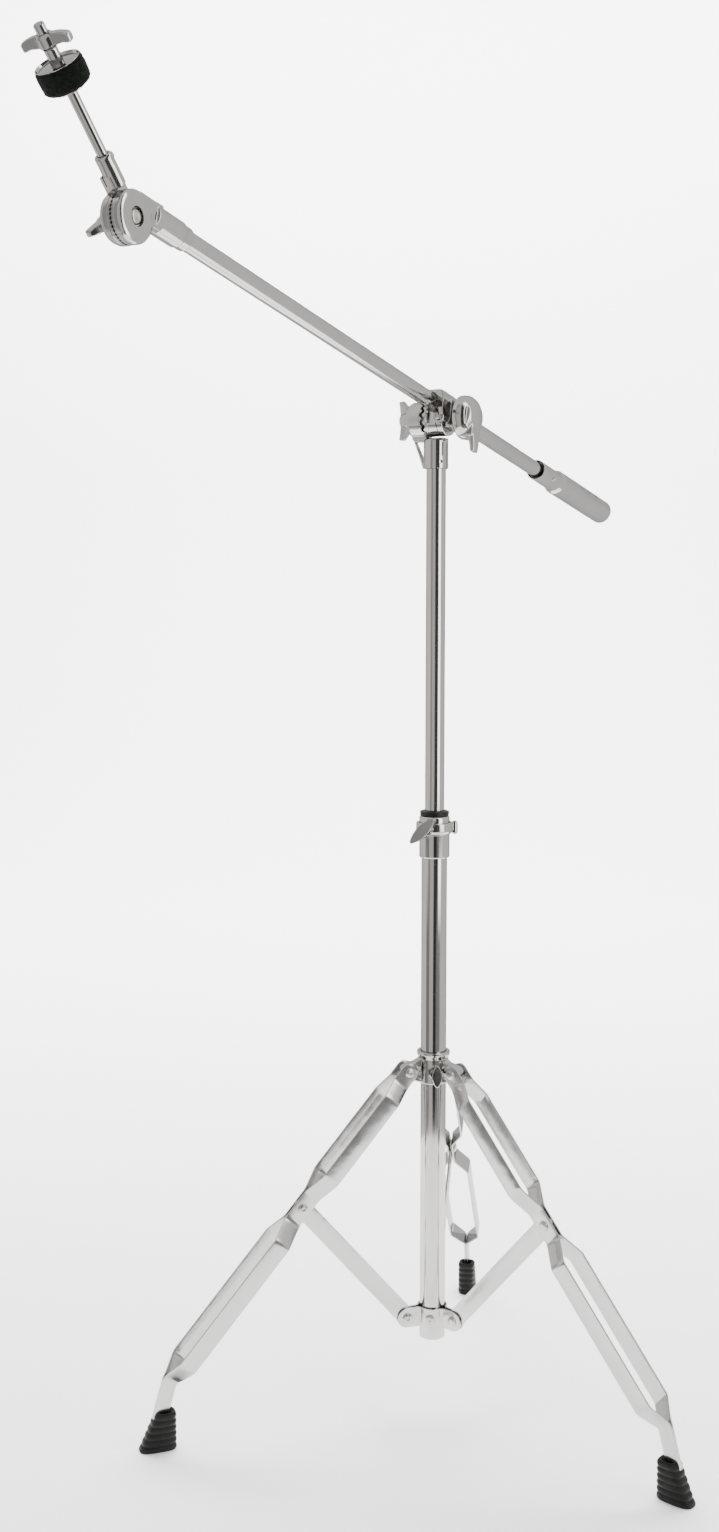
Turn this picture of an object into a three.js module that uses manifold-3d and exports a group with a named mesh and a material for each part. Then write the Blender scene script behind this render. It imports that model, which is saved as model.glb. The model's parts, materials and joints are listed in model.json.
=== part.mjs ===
// Cymbal boom stand: folding tripod, two-stage mast, tilting boom arm with counterweight, and cymbal seat.
// Millimetres, +Z up. The origin is the centre of the bounding box at floor level.
import * as THREE from 'three';
import { mergeVertices } from 'three/addons/utils/BufferGeometryUtils.js';
import Module from 'manifold-3d';

const wasm = await Module();
wasm.setup();

// ---- driving dimensions ----
const GAP = 0.3;                    // clearance between neighbouring pieces
const DEG = Math.PI / 180;
const ROUND = 20;                   // sides of a turned piece
const FINE = 24;                    // sides of a tube or a large turned piece
const HOLE = 12;                    // sides of a small hole or shank

const BASE_TUBE = { radius: 12.7, bore: 11, bottom: 72, top: 590 };
const UPPER_TUBE = { radius: 9.525, bore: 8.3, bottom: 455, top: 963 };
const BOOM_TUBE = { radius: 7.95, bore: 6.7, inner: -340, outer: 449 };

const LEGS = [
  { name: 'rear', azimuth: 81.6 },
  { name: 'left', azimuth: 201.6 },
  { name: 'right', azimuth: 321.6 },
];
const PIVOT_RADIUS = 28;            // collar lugs and hub ears, from the mast axis
const HUB_HEIGHT = 95;
const LEG_LEAN = 40.7 * DEG;        // from the vertical, legs spread
const LINK = 167.9;                 // lug to brace rivet, and brace rivet to hub ear
const LUG_HEIGHT = HUB_HEIGHT + 2 * LINK * Math.cos(LEG_LEAN);
const STRAP = {
  width: 18,
  thickness: 2,
  upperSpread: 14.5,                // half the gap between a leg's two straps, above the brace
  lowerSpread: 15.5,                // and below it
  tangStart: 374,                   // from the lug, along the leg
  tangLength: 38,
  tangLean: 16 * DEG,
};
const BRACE = { width: 18, thickness: 2 };
const RIVET = { shank: 2.7, hole: 3, head: 5, crown: 1.8 };
const LUG_HALF = 6;                 // half thickness of a collar lug
const FOOT = { width: 21, top: 37, ribs: 6 };

const BOOM_AZIMUTH = 241 * DEG;     // where the cymbal end points
const BOOM_RISE = 12.5 * DEG;
const HINGE_HEIGHT = 987;           // boom tilt axis
const BOOM_SIDE = 4;                // boom axis beside the mast axis
const BOOM_ABOVE = 11.1;            // boom axis above the tilt axis
const TILTER_REACH = 475;           // tilt axis to tilter axis, along the boom
const TILTER_DROP = 9.85;           // boom axis above the tilter axis
const ROD_ELEVATION = 48 * DEG;
const ROD = { radius: 4, start: 24, end: 141, side: -4, offset: 9 };
const SEAT = { bottom: 96, felt: 18.3, floor: 109.5, rim: 113.3 };
const WEIGHT = { neck: 10.7, body: 13, start: -214, shoulder: -262, end: -400 };

// ---- materials ----
const finish = (color, roughness, metalness) => () =>
  new THREE.MeshStandardMaterial({ color, roughness, metalness });
const chrome = finish(0xcfcfcd, 0.12, 1);
const steel = finish(0xb4b4b2, 0.3, 1);
const rubber = finish(0x2c2c2b, 0.75, 0);
const felt = finish(0x1d231e, 0.95, 0);
const nylon = finish(0x1b1b1b, 0.5, 0);

// ---- solids: closed meshes, joined and cut ----
function closed(geometry) {
  const bare = geometry.index ? geometry.toNonIndexed() : geometry.clone();
  bare.deleteAttribute('normal');
  bare.deleteAttribute('uv');
  const merged = mergeVertices(bare, 1e-4);
  const index = merged.index.array;
  const kept = [];
  for (let i = 0; i < index.length; i += 3) {
    const [a, b, c] = index.slice(i, i + 3);
    if (a !== b && b !== c && c !== a) kept.push(a, b, c);
  }
  merged.setIndex(kept);
  if (volume(merged) < 0) merged.setIndex(kept.reverse());
  return merged;
}

function volume(geometry) {
  const p = geometry.attributes.position;
  const index = geometry.index.array;
  const [a, b, c] = [new THREE.Vector3(), new THREE.Vector3(), new THREE.Vector3()];
  let sum = 0;
  for (let i = 0; i < index.length; i += 3) {
    a.fromBufferAttribute(p, index[i]);
    b.fromBufferAttribute(p, index[i + 1]);
    c.fromBufferAttribute(p, index[i + 2]);
    sum += a.dot(b.cross(c)) / 6;
  }
  return sum;
}

function toSolid(geometry) {
  const g = closed(geometry);
  return new wasm.Manifold(new wasm.Mesh({
    numProp: 3,
    vertProperties: new Float32Array(g.attributes.position.array),
    triVerts: new Uint32Array(g.index.array),
  }));
}

function toGeometry(solid) {
  const mesh = solid.getMesh();
  const geometry = new THREE.BufferGeometry();
  geometry.setAttribute('position', new THREE.BufferAttribute(new Float32Array(mesh.vertProperties), 3));
  geometry.setIndex(new THREE.BufferAttribute(new Uint32Array(mesh.triVerts), 1));
  return geometry;
}

function join(...parts) {
  return toGeometry(parts.map(toSolid).reduce((whole, next) => whole.add(next)));
}

function cut(body, ...tools) {
  return toGeometry(tools.map(toSolid).reduce((rest, tool) => rest.subtract(tool), toSolid(body)));
}

// ---- basic shapes ----
// A body of revolution about Z from [radius, height] points; the outline closes on itself or on the axis.
function turned(points, sides = ROUND) {
  const outline = points.map(([r, z]) => new THREE.Vector2(r, z));
  if (points[0][0] > 0) outline.push(outline[0].clone());
  return new THREE.LatheGeometry(outline, sides).rotateX(Math.PI / 2);
}

function pipe(outer, inner, low, high, sides = ROUND) {
  return turned([[inner, low], [outer, low], [outer, high], [inner, high]], sides);
}

function drum(radius, low, high, sides = ROUND) {
  return new THREE.CylinderGeometry(radius, radius, high - low, sides)
    .rotateX(Math.PI / 2).translate(0, 0, (low + high) / 2);
}

const alongX = (geometry) => geometry.rotateY(Math.PI / 2);
const alongY = (geometry) => geometry.rotateX(-Math.PI / 2);

function block(x0, x1, y0, y1, z0, z1) {
  return new THREE.BoxGeometry(x1 - x0, y1 - y0, z1 - z0)
    .translate((x0 + x1) / 2, (y0 + y1) / 2, (z0 + z1) / 2);
}

// A plate in the XZ plane, from y0 to y1. Holes are [x, z, radius].
function plateXZ(points, y0, y1, holes = []) {
  const shape = new THREE.Shape(points.map(([x, z]) => new THREE.Vector2(x, z)));
  for (const [x, z, r] of holes) {
    shape.holes.push(new THREE.Path().absarc(x, z, r, 0, 2 * Math.PI, true));
  }
  return new THREE.ExtrudeGeometry(shape, { depth: y1 - y0, bevelEnabled: false, curveSegments: HOLE / 2 })
    .rotateX(Math.PI / 2).translate(0, y1, 0);
}

// Points on an arc about (cx, cz), angles in degrees.
function arc(cx, cz, radius, from, to, steps) {
  return Array.from({ length: steps + 1 }, (_, i) => {
    const angle = (from + (to - from) * i / steps) * DEG;
    return [cx + radius * Math.cos(angle), cz + radius * Math.sin(angle)];
  });
}

function node(name, geometry, material) {
  const mesh = new THREE.Mesh(closed(geometry), material());
  mesh.name = name;
  return mesh;
}

function group(position, rotation, ...children) {
  const g = new THREE.Group();
  g.position.set(...position);
  g.rotation.set(...rotation);
  g.add(...children);
  return g;
}

function at(position, ...children) {
  return group(position, [0, 0, 0], ...children);
}

// ---- tripod ----
// A rivet along Y with a domed head at each end of the given grip.
function rivet(halfGrip) {
  const { shank, head, crown } = RIVET;
  const end = halfGrip + GAP;
  const edge = end + crown * 0.7;
  const dome = (side) => [[shank, side * end], [head, side * end], [head * 0.8, side * edge]];
  const outline = [[0, -end - crown], ...dome(-1).reverse(), ...dome(1), [0, end + crown]];
  return alongY(turned(outline, HOLE));
}

// Where the leg's centre line is, in its own radial plane, and the direction across its width.
function legPoint(s) {
  const down = { x: Math.sin(LEG_LEAN), z: -Math.cos(LEG_LEAN) };
  const along = Math.min(s, STRAP.tangStart);
  const past = Math.max(s - STRAP.tangStart, 0);
  const lean = STRAP.tangLean;
  const turn = s < STRAP.tangStart ? LEG_LEAN : s > STRAP.tangStart ? lean : (LEG_LEAN + lean) / 2;
  return {
    x: PIVOT_RADIUS + down.x * along + Math.sin(lean) * past,
    z: LUG_HEIGHT + down.z * along - Math.cos(lean) * past,
    across: { x: Math.cos(turn), z: Math.sin(turn) },
  };
}

// One of the two flat straps of a leg: pinned outside the collar lug, spread, nipped together on the
// brace, spread again, and closed at the tang that goes into the foot. Offset is measured along Y.
function strap(side) {
  const half = STRAP.width / 2;
  const outsideLug = LUG_HALF + GAP + STRAP.thickness / 2;
  const outsideBrace = BRACE.thickness / 2 + GAP + STRAP.thickness / 2;
  const atTang = (GAP + STRAP.thickness) / 2;
  const tangEnd = STRAP.tangStart + STRAP.tangLength;
  const stations = [
    ...[-0.99, -0.85, -0.5].map((k) => [k * half, outsideLug, 2 * half * Math.sqrt(1 - k * k)]),
    [0, outsideLug, 2 * half],
    [14, outsideLug, 2 * half],
    [32, STRAP.upperSpread, 2 * half],
    [130, STRAP.upperSpread, 2 * half],
    [152, outsideBrace, 2 * half],
    [184, outsideBrace, 2 * half],
    [206, STRAP.lowerSpread, 2 * half],
    [352, STRAP.lowerSpread, 2 * half],
    [STRAP.tangStart - 2, atTang, 2 * half * 0.9], [STRAP.tangStart, atTang, 2 * half * 0.85],
    [STRAP.tangStart + 6, atTang, 2 * half * 0.8], [tangEnd, atTang, 2 * half * 0.8],
  ];
  const corners = stations.flatMap(([s, offset, width]) => {
    const { x, z, across } = legPoint(s);
    const near = side * (offset - STRAP.thickness / 2);
    const far = side * (offset + STRAP.thickness / 2);
    const [dx, dz] = [across.x * width / 2, across.z * width / 2];
    return [x - dx, near, z - dz, x + dx, near, z + dz, x + dx, far, z + dz, x - dx, far, z - dz];
  });
  const faces = [0, 1, 2, 0, 2, 3];
  const last = 4 * (stations.length - 1);
  faces.push(last, last + 2, last + 1, last, last + 3, last + 2);
  for (let i = 0; i < last; i += 4) {
    for (let k = 0; k < 4; k += 1) {
      const [a, b] = [i + k, i + (k + 1) % 4];
      faces.push(a, a + 4, b, b, a + 4, b + 4);
    }
  }
  const ribbon = new THREE.BufferGeometry();
  ribbon.setAttribute('position', new THREE.Float32BufferAttribute(corners, 3));
  ribbon.setIndex(faces);
  const pin = (s) => {
    const { x, z } = legPoint(s);
    return alongY(drum(RIVET.hole, -15, 15, HOLE)).translate(x, 0, z);
  };
  return cut(ribbon, pin(0), pin(LINK));
}

function brace() {
  const half = BRACE.width / 2;
  const bar = [...arc(0, 0, half, 90, 270, 6), ...arc(LINK, 0, half, -90, 90, 6)];
  const holes = [[0, 0, RIVET.hole], [LINK, 0, RIVET.hole]];
  return plateXZ(bar, -BRACE.thickness / 2, BRACE.thickness / 2, holes);
}

// A ribbed rubber boot with a pocket for the tang. Its ribs step outwards down to a flat sole.
function foot() {
  const tangEnd = legPoint(STRAP.tangStart + STRAP.tangLength);
  const pitch = FOOT.top / FOOT.ribs;
  const inner = [];
  const outer = [];
  for (let i = 0; i < FOOT.ribs; i += 1) {
    const high = FOOT.top - i * pitch;
    const centre = tangEnd.x - 6 + 1.5 * i;
    const reach = 11 + 1.6 * i;
    const low = high - pitch + 1.5;
    inner.push([centre - reach + 2, high], [centre - reach, high - 2], [centre - reach, low]);
    outer.push([centre + reach - 2, high], [centre + reach, high - 2], [centre + reach, low]);
  }
  inner.push([inner.at(-1)[0] + 2, 0]);
  outer.push([outer.at(-1)[0] - 2, 0]);
  const body = plateXZ([...inner, ...outer.reverse()], -FOOT.width / 2, FOOT.width / 2);
  const pocketWidth = STRAP.width * 0.8 + 2 * GAP + 0.4;
  const pocketDepth = 2 * STRAP.thickness + 3 * GAP;
  const length = STRAP.tangLength + 12;
  const pocket = block(-pocketWidth / 2, pocketWidth / 2, -pocketDepth / 2, pocketDepth / 2, -1.5, length)
    .rotateY(-STRAP.tangLean).translate(tangEnd.x, 0, tangEnd.z);
  return cut(body, pocket);
}

function leg({ name, azimuth }) {
  const { x, z } = legPoint(LINK);
  const rise = Math.atan2(z - HUB_HEIGHT, x - PIVOT_RADIUS);
  const braceGrip = BRACE.thickness / 2 + GAP + STRAP.thickness;
  const lugGrip = LUG_HALF + GAP + STRAP.thickness;
  return group([0, 0, 0], [0, 0, azimuth * DEG],
    node(`leg_strap_a_${name}`, strap(1), chrome),
    node(`leg_strap_b_${name}`, strap(-1), chrome),
    group([PIVOT_RADIUS, 0, HUB_HEIGHT], [0, -rise, 0], node(`brace_${name}`, brace(), chrome)),
    at([x, 0, z], node(`brace_rivet_${name}`, rivet(braceGrip), steel)),
    at([PIVOT_RADIUS, 0, LUG_HEIGHT], node(`collar_rivet_${name}`, rivet(lugGrip), steel)),
    at([PIVOT_RADIUS, 0, HUB_HEIGHT], node(`hub_rivet_${name}`, rivet(braceGrip), steel)),
    node(`rubber_foot_${name}`, foot(), rubber));
}

const HUB_PLATE = { height: 20, inner: BASE_TUBE.radius + GAP, thickness: 2, reach: 38 };

// A pressed plate that wraps a third of the tube, with an ear beside the brace at each end.
function hubPlate() {
  const { height, inner, thickness, reach } = HUB_PLATE;
  const near = BRACE.thickness / 2 + GAP;
  const lap = Math.asin(near / inner) / DEG;
  const outside = arc(0, 0, inner + thickness, lap, 120 - lap, 8);
  const inside = arc(0, 0, inner, 120 - lap, lap, 8);
  const band = new THREE.Shape([...outside, ...inside].map(([x, y]) => new THREE.Vector2(x, y)));
  const wrap = new THREE.ExtrudeGeometry(band, { depth: height, bevelEnabled: false })
    .translate(0, 0, -height / 2);
  const round = height / 2;
  const ear = [[inner + 0.3, -round], ...arc(reach - round, 0, round, -90, 90, 6), [inner + 0.3, round]];
  const hole = [[PIVOT_RADIUS, 0, RIVET.hole]];
  const first = plateXZ(ear, near, near + thickness, hole);
  const second = plateXZ(ear, -near - thickness, -near, hole).rotateZ(120 * DEG);
  const rivetHole = alongX(drum(RIVET.hole - 0.2, 8, 20, HOLE)).rotateZ(60 * DEG);
  return cut(join(wrap, first, second), rivetHole);
}

// The rivet that holds a hub plate to the tube wall, along X, headed outside and inside.
function tubeRivet() {
  const out = HUB_PLATE.inner + HUB_PLATE.thickness + GAP;
  const inside = BASE_TUBE.bore - GAP - 0.4;
  const outline = [[0, inside - 1], [3.2, inside - 1], [3.4, inside], [2.3, inside], [2.3, out], [4.6, out],
    [3.6, out + 1.5], [0, out + 2]];
  return alongX(turned(outline, HOLE));
}

function baseTube() {
  const { radius, bore, bottom, top } = BASE_TUBE;
  const holes = LEGS.map(({ azimuth }) =>
    alongX(drum(2.6, 5, 20, HOLE)).rotateZ((azimuth + 60) * DEG).translate(0, 0, HUB_HEIGHT));
  return cut(pipe(radius, bore, bottom, top, FINE), ...holes);
}

function hub() {
  const around = (degrees, child) => group([0, 0, HUB_HEIGHT], [0, 0, degrees * DEG], child);
  return LEGS.flatMap(({ name, azimuth }) => [
    around(azimuth, node(`hub_plate_${name}`, hubPlate(), chrome)),
    around(azimuth + 60, node(`hub_tube_rivet_${name}`, tubeRivet(), steel)),
  ]);
}

// Heights are from the lug axis.
const COLLAR = {
  bore: BASE_TUBE.radius + GAP, wall: 15.4, rim: 16.6, low: -13, high: 19, bossAzimuth: 277,
};
const BOSS_END = 23;                // face of the collar's bolt boss, from the mast axis

// The cast leg collar: a sleeve with a rim, three tapered arms with lugs and a boss for the wing bolt.
function legCollar() {
  const { bore, wall, rim, low, high } = COLLAR;
  const sleeve = turned([[bore - 2, low], [wall, low], [wall, 11], [rim, 14], [rim, high - 0.8],
    [rim - 0.8, high], [bore - 2, high]], FINE);
  const lugEdge = arc(PIVOT_RADIUS, 0, 7.5, -75, 75, 6);
  const side = [[12.5, low + 1], [18, low + 2], ...lugEdge, [18, 11], [12.5, 14]];
  const arms = LEGS.map(({ azimuth }) => plateXZ(side, -LUG_HALF, LUG_HALF).rotateZ(azimuth * DEG));
  const toward = COLLAR.bossAzimuth * DEG;
  const bossShape = turned([[0, 12.5], [6.2, 12.5], [5.6, BOSS_END], [0, BOSS_END]], 16);
  const boss = alongX(bossShape).rotateZ(toward);
  const pins = LEGS.map(({ azimuth }) =>
    alongY(drum(RIVET.hole, -9, 9, HOLE)).translate(PIVOT_RADIUS, 0, 0).rotateZ(azimuth * DEG));
  const thread = alongX(drum(3.3, 10, BOSS_END + 3, HOLE)).rotateZ(toward);
  return cut(join(sleeve, ...arms, boss), drum(bore, low - 5, high + 5, FINE), ...pins, thread);
}

// A wing bolt along X: shank from the tube wall, round hub, and a lens-shaped bar across it.
function wingBolt(tip, seat, span, breadth) {
  const shank = drum(3, tip, seat + 3, HOLE);
  const hubShape = turned([[0, seat], [5.6, seat], [5.2, seat + 5], [0, seat + 7]], 16);
  const lens = new THREE.Shape();
  lens.moveTo(-span / 2, -breadth * 0.18);
  lens.quadraticCurveTo(0, -breadth, span / 2, -breadth * 0.18);
  lens.lineTo(span / 2, breadth * 0.18);
  lens.quadraticCurveTo(0, breadth, -span / 2, breadth * 0.18);
  const bar = new THREE.ExtrudeGeometry(lens, { depth: 7, bevelEnabled: false, curveSegments: 6 })
    .translate(0, 0, seat + 2.5);
  return alongX(join(shank, hubShape, bar));
}

function collar() {
  const bolt = node('collar_wing_bolt', wingBolt(COLLAR.bore + 0.2, BOSS_END + GAP, 22, 6), chrome);
  return at([0, 0, LUG_HEIGHT],
    node('leg_collar', legCollar(), chrome),
    group([0, 0, 0], [0, 0, COLLAR.bossAzimuth * DEG], bolt));
}

// ---- height clamp ----
const CLAMP = { low: 563, high: 604, wall: 15, band: 18.2, bandLow: 587, bandHigh: 598, boltAzimuth: 248 };
const HINGE_AT = 20;                // hinge pin of the band, from the mast axis

function heightClamp() {
  const { low, high, wall, band, bandLow, bandHigh, boltAzimuth } = CLAMP;
  const bore = BASE_TUBE.radius + GAP;
  const boltAt = boltAzimuth * DEG;
  const middle = (bandLow + bandHigh) / 2;
  const boltHole = () => alongX(drum(3.3, 9, 30, HOLE)).rotateZ(boltAt).translate(0, 0, middle);
  const socket = turned([[bore, low], [wall - 0.8, low], [wall, low + 1], [wall, high - 1],
    [wall - 1, high], [bore, high]], FINE);
  const ring = turned([[wall + GAP, bandLow], [band - 1.2, bandLow], [band, bandLow + 2.5],
    [band, bandHigh], [wall + GAP, bandHigh]], FINE);
  const boss = alongX(drum(5.4, wall + 1.5, 24, 16)).rotateZ(boltAt).translate(0, 0, middle);
  const knuckle = drum(3, bandLow, bandHigh, HOLE).translate(HINGE_AT, 0, 0);
  const slit = block(15, 24, -0.5, 0.5, bandLow - 1, bandHigh + 1);
  const pinHole = drum(1.5, bandLow - 2, bandHigh + 2, 8).translate(HINGE_AT, 0, 0);
  const bush = turned([[9.8, 560], [10.7, 560], [10.7, high + GAP], [14.3, high + GAP], [14.3, 609],
    [13.6, 609.6], [9.8, 609.6]], FINE);
  const pin = turned([[0, bandLow - 1.2], [2, bandLow - 1.2], [2, bandLow - GAP], [1.2, bandLow - GAP],
    [1.2, bandHigh + GAP], [2, bandHigh + GAP], [2, bandHigh + 1.2], [0, bandHigh + 1.2]], 8);
  const bolt = node('height_wing_bolt', wingBolt(bore + 0.3, 24 + GAP, 34, 7), chrome);
  return [
    node('height_clamp_socket', cut(socket, boltHole()), chrome),
    node('height_clamp_band', cut(join(ring, boss, knuckle), slit, pinHole, boltHole()), chrome),
    at([HINGE_AT, 0, 0], node('height_clamp_pin', pin, steel)),
    node('nylon_bush', bush, nylon),
    group([0, 0, middle], [0, 0, boltAt], group([0, 0, 0], [-45 * DEG, 0, 0], bolt)),
  ];
}

// ---- boom holder; local X is the tilt axis and -Y points to the cymbal end ----
// A wing nut along X. Each wing is a tapered blade that starts on the hub and sweeps outwards.
function wingNut({ seat, depth, hubRadius, bore, reach, blade, sweep, width }) {
  const side = Math.sign(depth);
  const far = Math.abs(depth);
  const body = turned([[bore, 0], [hubRadius, 0], [hubRadius, far * 0.35], [hubRadius * 0.7, far],
    [bore, far]]);
  const root = hubRadius * 0.5;
  const tip = far * 0.55 + sweep;
  const outline = [[root, 0.8], [hubRadius, 0.8], [reach, tip], [reach - 1, tip + blade],
    [hubRadius * 0.9, far * 0.9], [root, far * 0.9]];
  const wing = (sign) => plateXZ(outline.map(([x, z]) => [sign * x, z]), -width / 2, width / 2);
  const nut = cut(join(body, wing(1), wing(-1)), drum(bore, -2, far + 2, ROUND));
  return alongX(side > 0 ? nut : nut.rotateY(Math.PI)).translate(seat, 0, 0);
}

// The large boom nut: a bulbous hood, blind at the front, with one long prong.
function hoodNut(seat) {
  const dome = turned([[0, 0], [18.5, 0], [20.8, 2], [21, 6], [20, 10.5], [17, 14.5], [11.5, 18], [5, 19.6],
    [0, 20]], FINE);
  const side = [[9, 10], [17, 9], [25, 13], [33, 15], [34, 20.5], [24, 21.5], [14, 20], [9, 17]];
  const prong = plateXZ(side, -5.5, 5.5);
  return alongX(cut(join(dome, prong), drum(3.1, -2, 14, HOLE))).translate(seat, 0, 0);
}

const HOLDER = { ratchet: 17, gap: -7, left: -27, block: 14, barrel: 16.4, bolt: 2.8, boltHole: 3.1 };
const KEEPER_SCREW = { side: 8, up: -1 };

function holderBase() {
  const { ratchet, gap, left, boltHole } = HOLDER;
  const bore = UPPER_TUBE.radius + GAP;
  const bottom = 940 - HINGE_HEIGHT;
  const shelf = -17.8;
  const face = gap - GAP;
  const disc = alongX(turned([[0, left], [ratchet - 2, left], [ratchet, left + 2], [ratchet, face],
    [0, face]]));
  const socket = drum(11.6, bottom, shelf - 2, FINE);
  const gusset = plateXZ([[left + 1, -6], [face, -6], [face, shelf], [10.5, shelf], [10.5, shelf - 6],
    [-11, bottom], [-13.5, bottom], [left + 1, -16]], -6.5, 6.5);
  const window = plateXZ([[-17, -23], [-12.6, -25], [-12.4, bottom + 6]], -8, 8);
  const tubeBore = drum(bore, bottom - 1, shelf - 5.5, FINE);
  const slit = block(8, 13, -0.7, 0.7, bottom - 1, shelf - 8);
  const boltBore = alongX(drum(boltHole, left - 2, gap + 2, HOLE));
  return cut(join(disc, socket, gusset), window, tubeBore, slit, boltBore);
}

// The moving half: a toothed disc, a block under the boom and a barrel round the tilt axis below it.
function clampBlock() {
  const { ratchet, gap, block: face, barrel, boltHole } = HOLDER;
  const disc = alongX(turned([[0, gap], [ratchet - 0.3, gap], [ratchet - 0.3, gap + 4],
    [ratchet - 3, gap + 5.5], [0, gap + 5.5]]));
  const body = block(gap + 5, face, -12, 12, -10, 9);
  const round = alongX(drum(barrel, gap + 5, face, FINE));
  const above = block(gap + 4, face + 1, -20, 20, -7.5, 20);
  const saddle = alongY(drum(BOOM_TUBE.radius + GAP, -20, 20, FINE)).translate(BOOM_SIDE, 0, BOOM_ABOVE);
  const bolt = alongX(drum(boltHole, gap - 2, face + 2, HOLE));
  const screw = alongY(drum(2.3, -14, -6, HOLE)).translate(KEEPER_SCREW.side, 0, KEEPER_SCREW.up);
  return cut(join(disc, body, cut(round, above)), saddle, bolt, screw);
}

const HOOK = { front: -24, back: 9, thickness: 6, wrap: 128, body: 11.7 };

// The hook that closes over the boom: a long claw towards the cymbal, and a thick body that the hood
// nut pulls against the block.
function hookStrap() {
  const inner = BOOM_TUBE.radius + GAP;
  const face = HOLDER.block + GAP;
  const end = face + HOOK.body;
  const claw = plateXZ([
    ...arc(BOOM_SIDE, BOOM_ABOVE, inner, 0, HOOK.wrap, 10),
    ...arc(BOOM_SIDE, BOOM_ABOVE, inner + HOOK.thickness, HOOK.wrap, 0, 10),
  ], HOOK.front, HOOK.back);
  const body = plateXZ([[face, -11], [end - 2, -11], [end, -9], [end, 10], [end - 4, 15], [face, 18]],
    -HOOK.back, HOOK.back);
  return cut(join(claw, body), alongX(drum(HOLDER.boltHole, face - 2, end + 2, HOLE)));
}

function boomHolder() {
  const { left, block: face, bolt } = HOLDER;
  const right = face + GAP + HOOK.body;
  const leftNut = wingNut({
    seat: left - GAP, depth: -11, hubRadius: 8.5, bore: 3.1, reach: 19, blade: 5, sweep: 2, width: 7,
  });
  const under = -12 - GAP;
  const screw = alongY(turned([[0, -15], [3.4, -15], [3.8, -14], [3.8, under], [2, under], [2, -6.5],
    [0, -6.5]], HOLE));
  return group([0, 0, HINGE_HEIGHT], [0, 0, BOOM_AZIMUTH + 90 * DEG],
    node('boom_holder', holderBase(), chrome),
    node('tilt_wing_nut', leftNut, chrome),
    group([0, 0, 0], [-BOOM_RISE, 0, 0],
      node('boom_clamp_block', clampBlock(), chrome),
      node('hook_strap', hookStrap(), chrome),
      node('clamp_stud', alongX(drum(bolt, left - 13, right + 12, HOLE)), steel),
      at([KEEPER_SCREW.side, 0, KEEPER_SCREW.up], node('clamp_screw', screw, steel)),
      node('clamp_wing_nut', hoodNut(right + GAP), chrome),
      at([BOOM_SIDE, 0, BOOM_ABOVE], ...boom(), tilter())));
}

// ---- boom; local Y runs along it towards the counterweight ----
function counterweight() {
  const { neck, body, start, shoulder, end } = WEIGHT;
  const bore = BOOM_TUBE.radius + GAP;
  const groove = (y) => [[body, y - 1], [body - 0.8, y - 0.6], [body - 0.8, y + 0.6], [body, y + 1]];
  const outline = [
    [bore + 1.2, -start], [neck, -start], [neck, -shoulder - 3], [body, -shoulder],
    ...groove(310),
    ...groove(330),
    ...groove(349),
    ...arc(body - 7, -end - 7, 7, 0, 90, 4), [0, -end], [0, -BOOM_TUBE.inner + 4],
    [bore, -BOOM_TUBE.inner + 4], [bore, -start + 8],
  ];
  const hole = alongX(drum(2.8, 6, 16, HOLE)).rotateZ(-SET_SCREW.turn).translate(0, 0, SET_SCREW.along);
  return alongY(cut(turned(closeOnAxis(outline)), hole));
}

// A lathe outline that touches the axis has to start and end there.
function closeOnAxis(outline) {
  const onAxis = outline.findIndex(([r]) => r === 0);
  return onAxis < 0 ? outline : [...outline.slice(onAxis + 1), ...outline.slice(0, onAxis + 1)];
}

const SET_SCREW = { along: 240, turn: -20 * DEG };

function setScrew() {
  return alongX(drum(2.5, BOOM_TUBE.radius + GAP, 12.4, HOLE));
}

function boom() {
  const { radius, bore, inner, outer } = BOOM_TUBE;
  const screw = node('counterweight_screw', setScrew(), steel);
  return [
    node('boom_tube', alongY(pipe(radius, bore, -outer, -inner, FINE)), chrome),
    node('counterweight', counterweight(), chrome),
    group([0, SET_SCREW.along, 0], [0, -SET_SCREW.turn, 0], screw),
  ];
}

// ---- tilter and cymbal seat; origin on the tilter axis, in the boom's plane ----
const TILTER = { radius: 19.5, front: 8, gap: -1, back: -13, sleeveEnd: 55 };

function tilterBoomHalf() {
  const { radius, front, gap, sleeveEnd } = TILTER;
  const disc = alongX(turned([[0, gap], [radius, gap], [radius, front - 2.5], [radius - 1, front - 0.9],
    [radius - 3, front], [0, front]], FINE));
  const neck = block(gap, front, 0, 26, -0.5, radius - 0.3);
  const cheek = block(-10, front, radius + 1.2, 28, -0.5, TILTER_DROP + 10.2);
  const sleeve = alongY(turned([[0, radius + 2], [10.4, radius + 2], [10.4, sleeveEnd],
    [9.3, sleeveEnd + 0.5], [9.3, sleeveEnd + 10], [0, sleeveEnd + 10]])).translate(0, 0, TILTER_DROP);
  const tubeEnd = TILTER_REACH - BOOM_TUBE.outer;
  const bore = alongY(drum(BOOM_TUBE.radius + GAP, tubeEnd - 1, 80)).translate(0, 0, TILTER_DROP);
  const recess = alongX(drum(6.6, front - 4.5, front + 2, 16));
  return cut(join(disc, neck, cheek, sleeve), bore, recess, alongX(drum(3.3, gap - 3, front, HOLE)));
}

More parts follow.
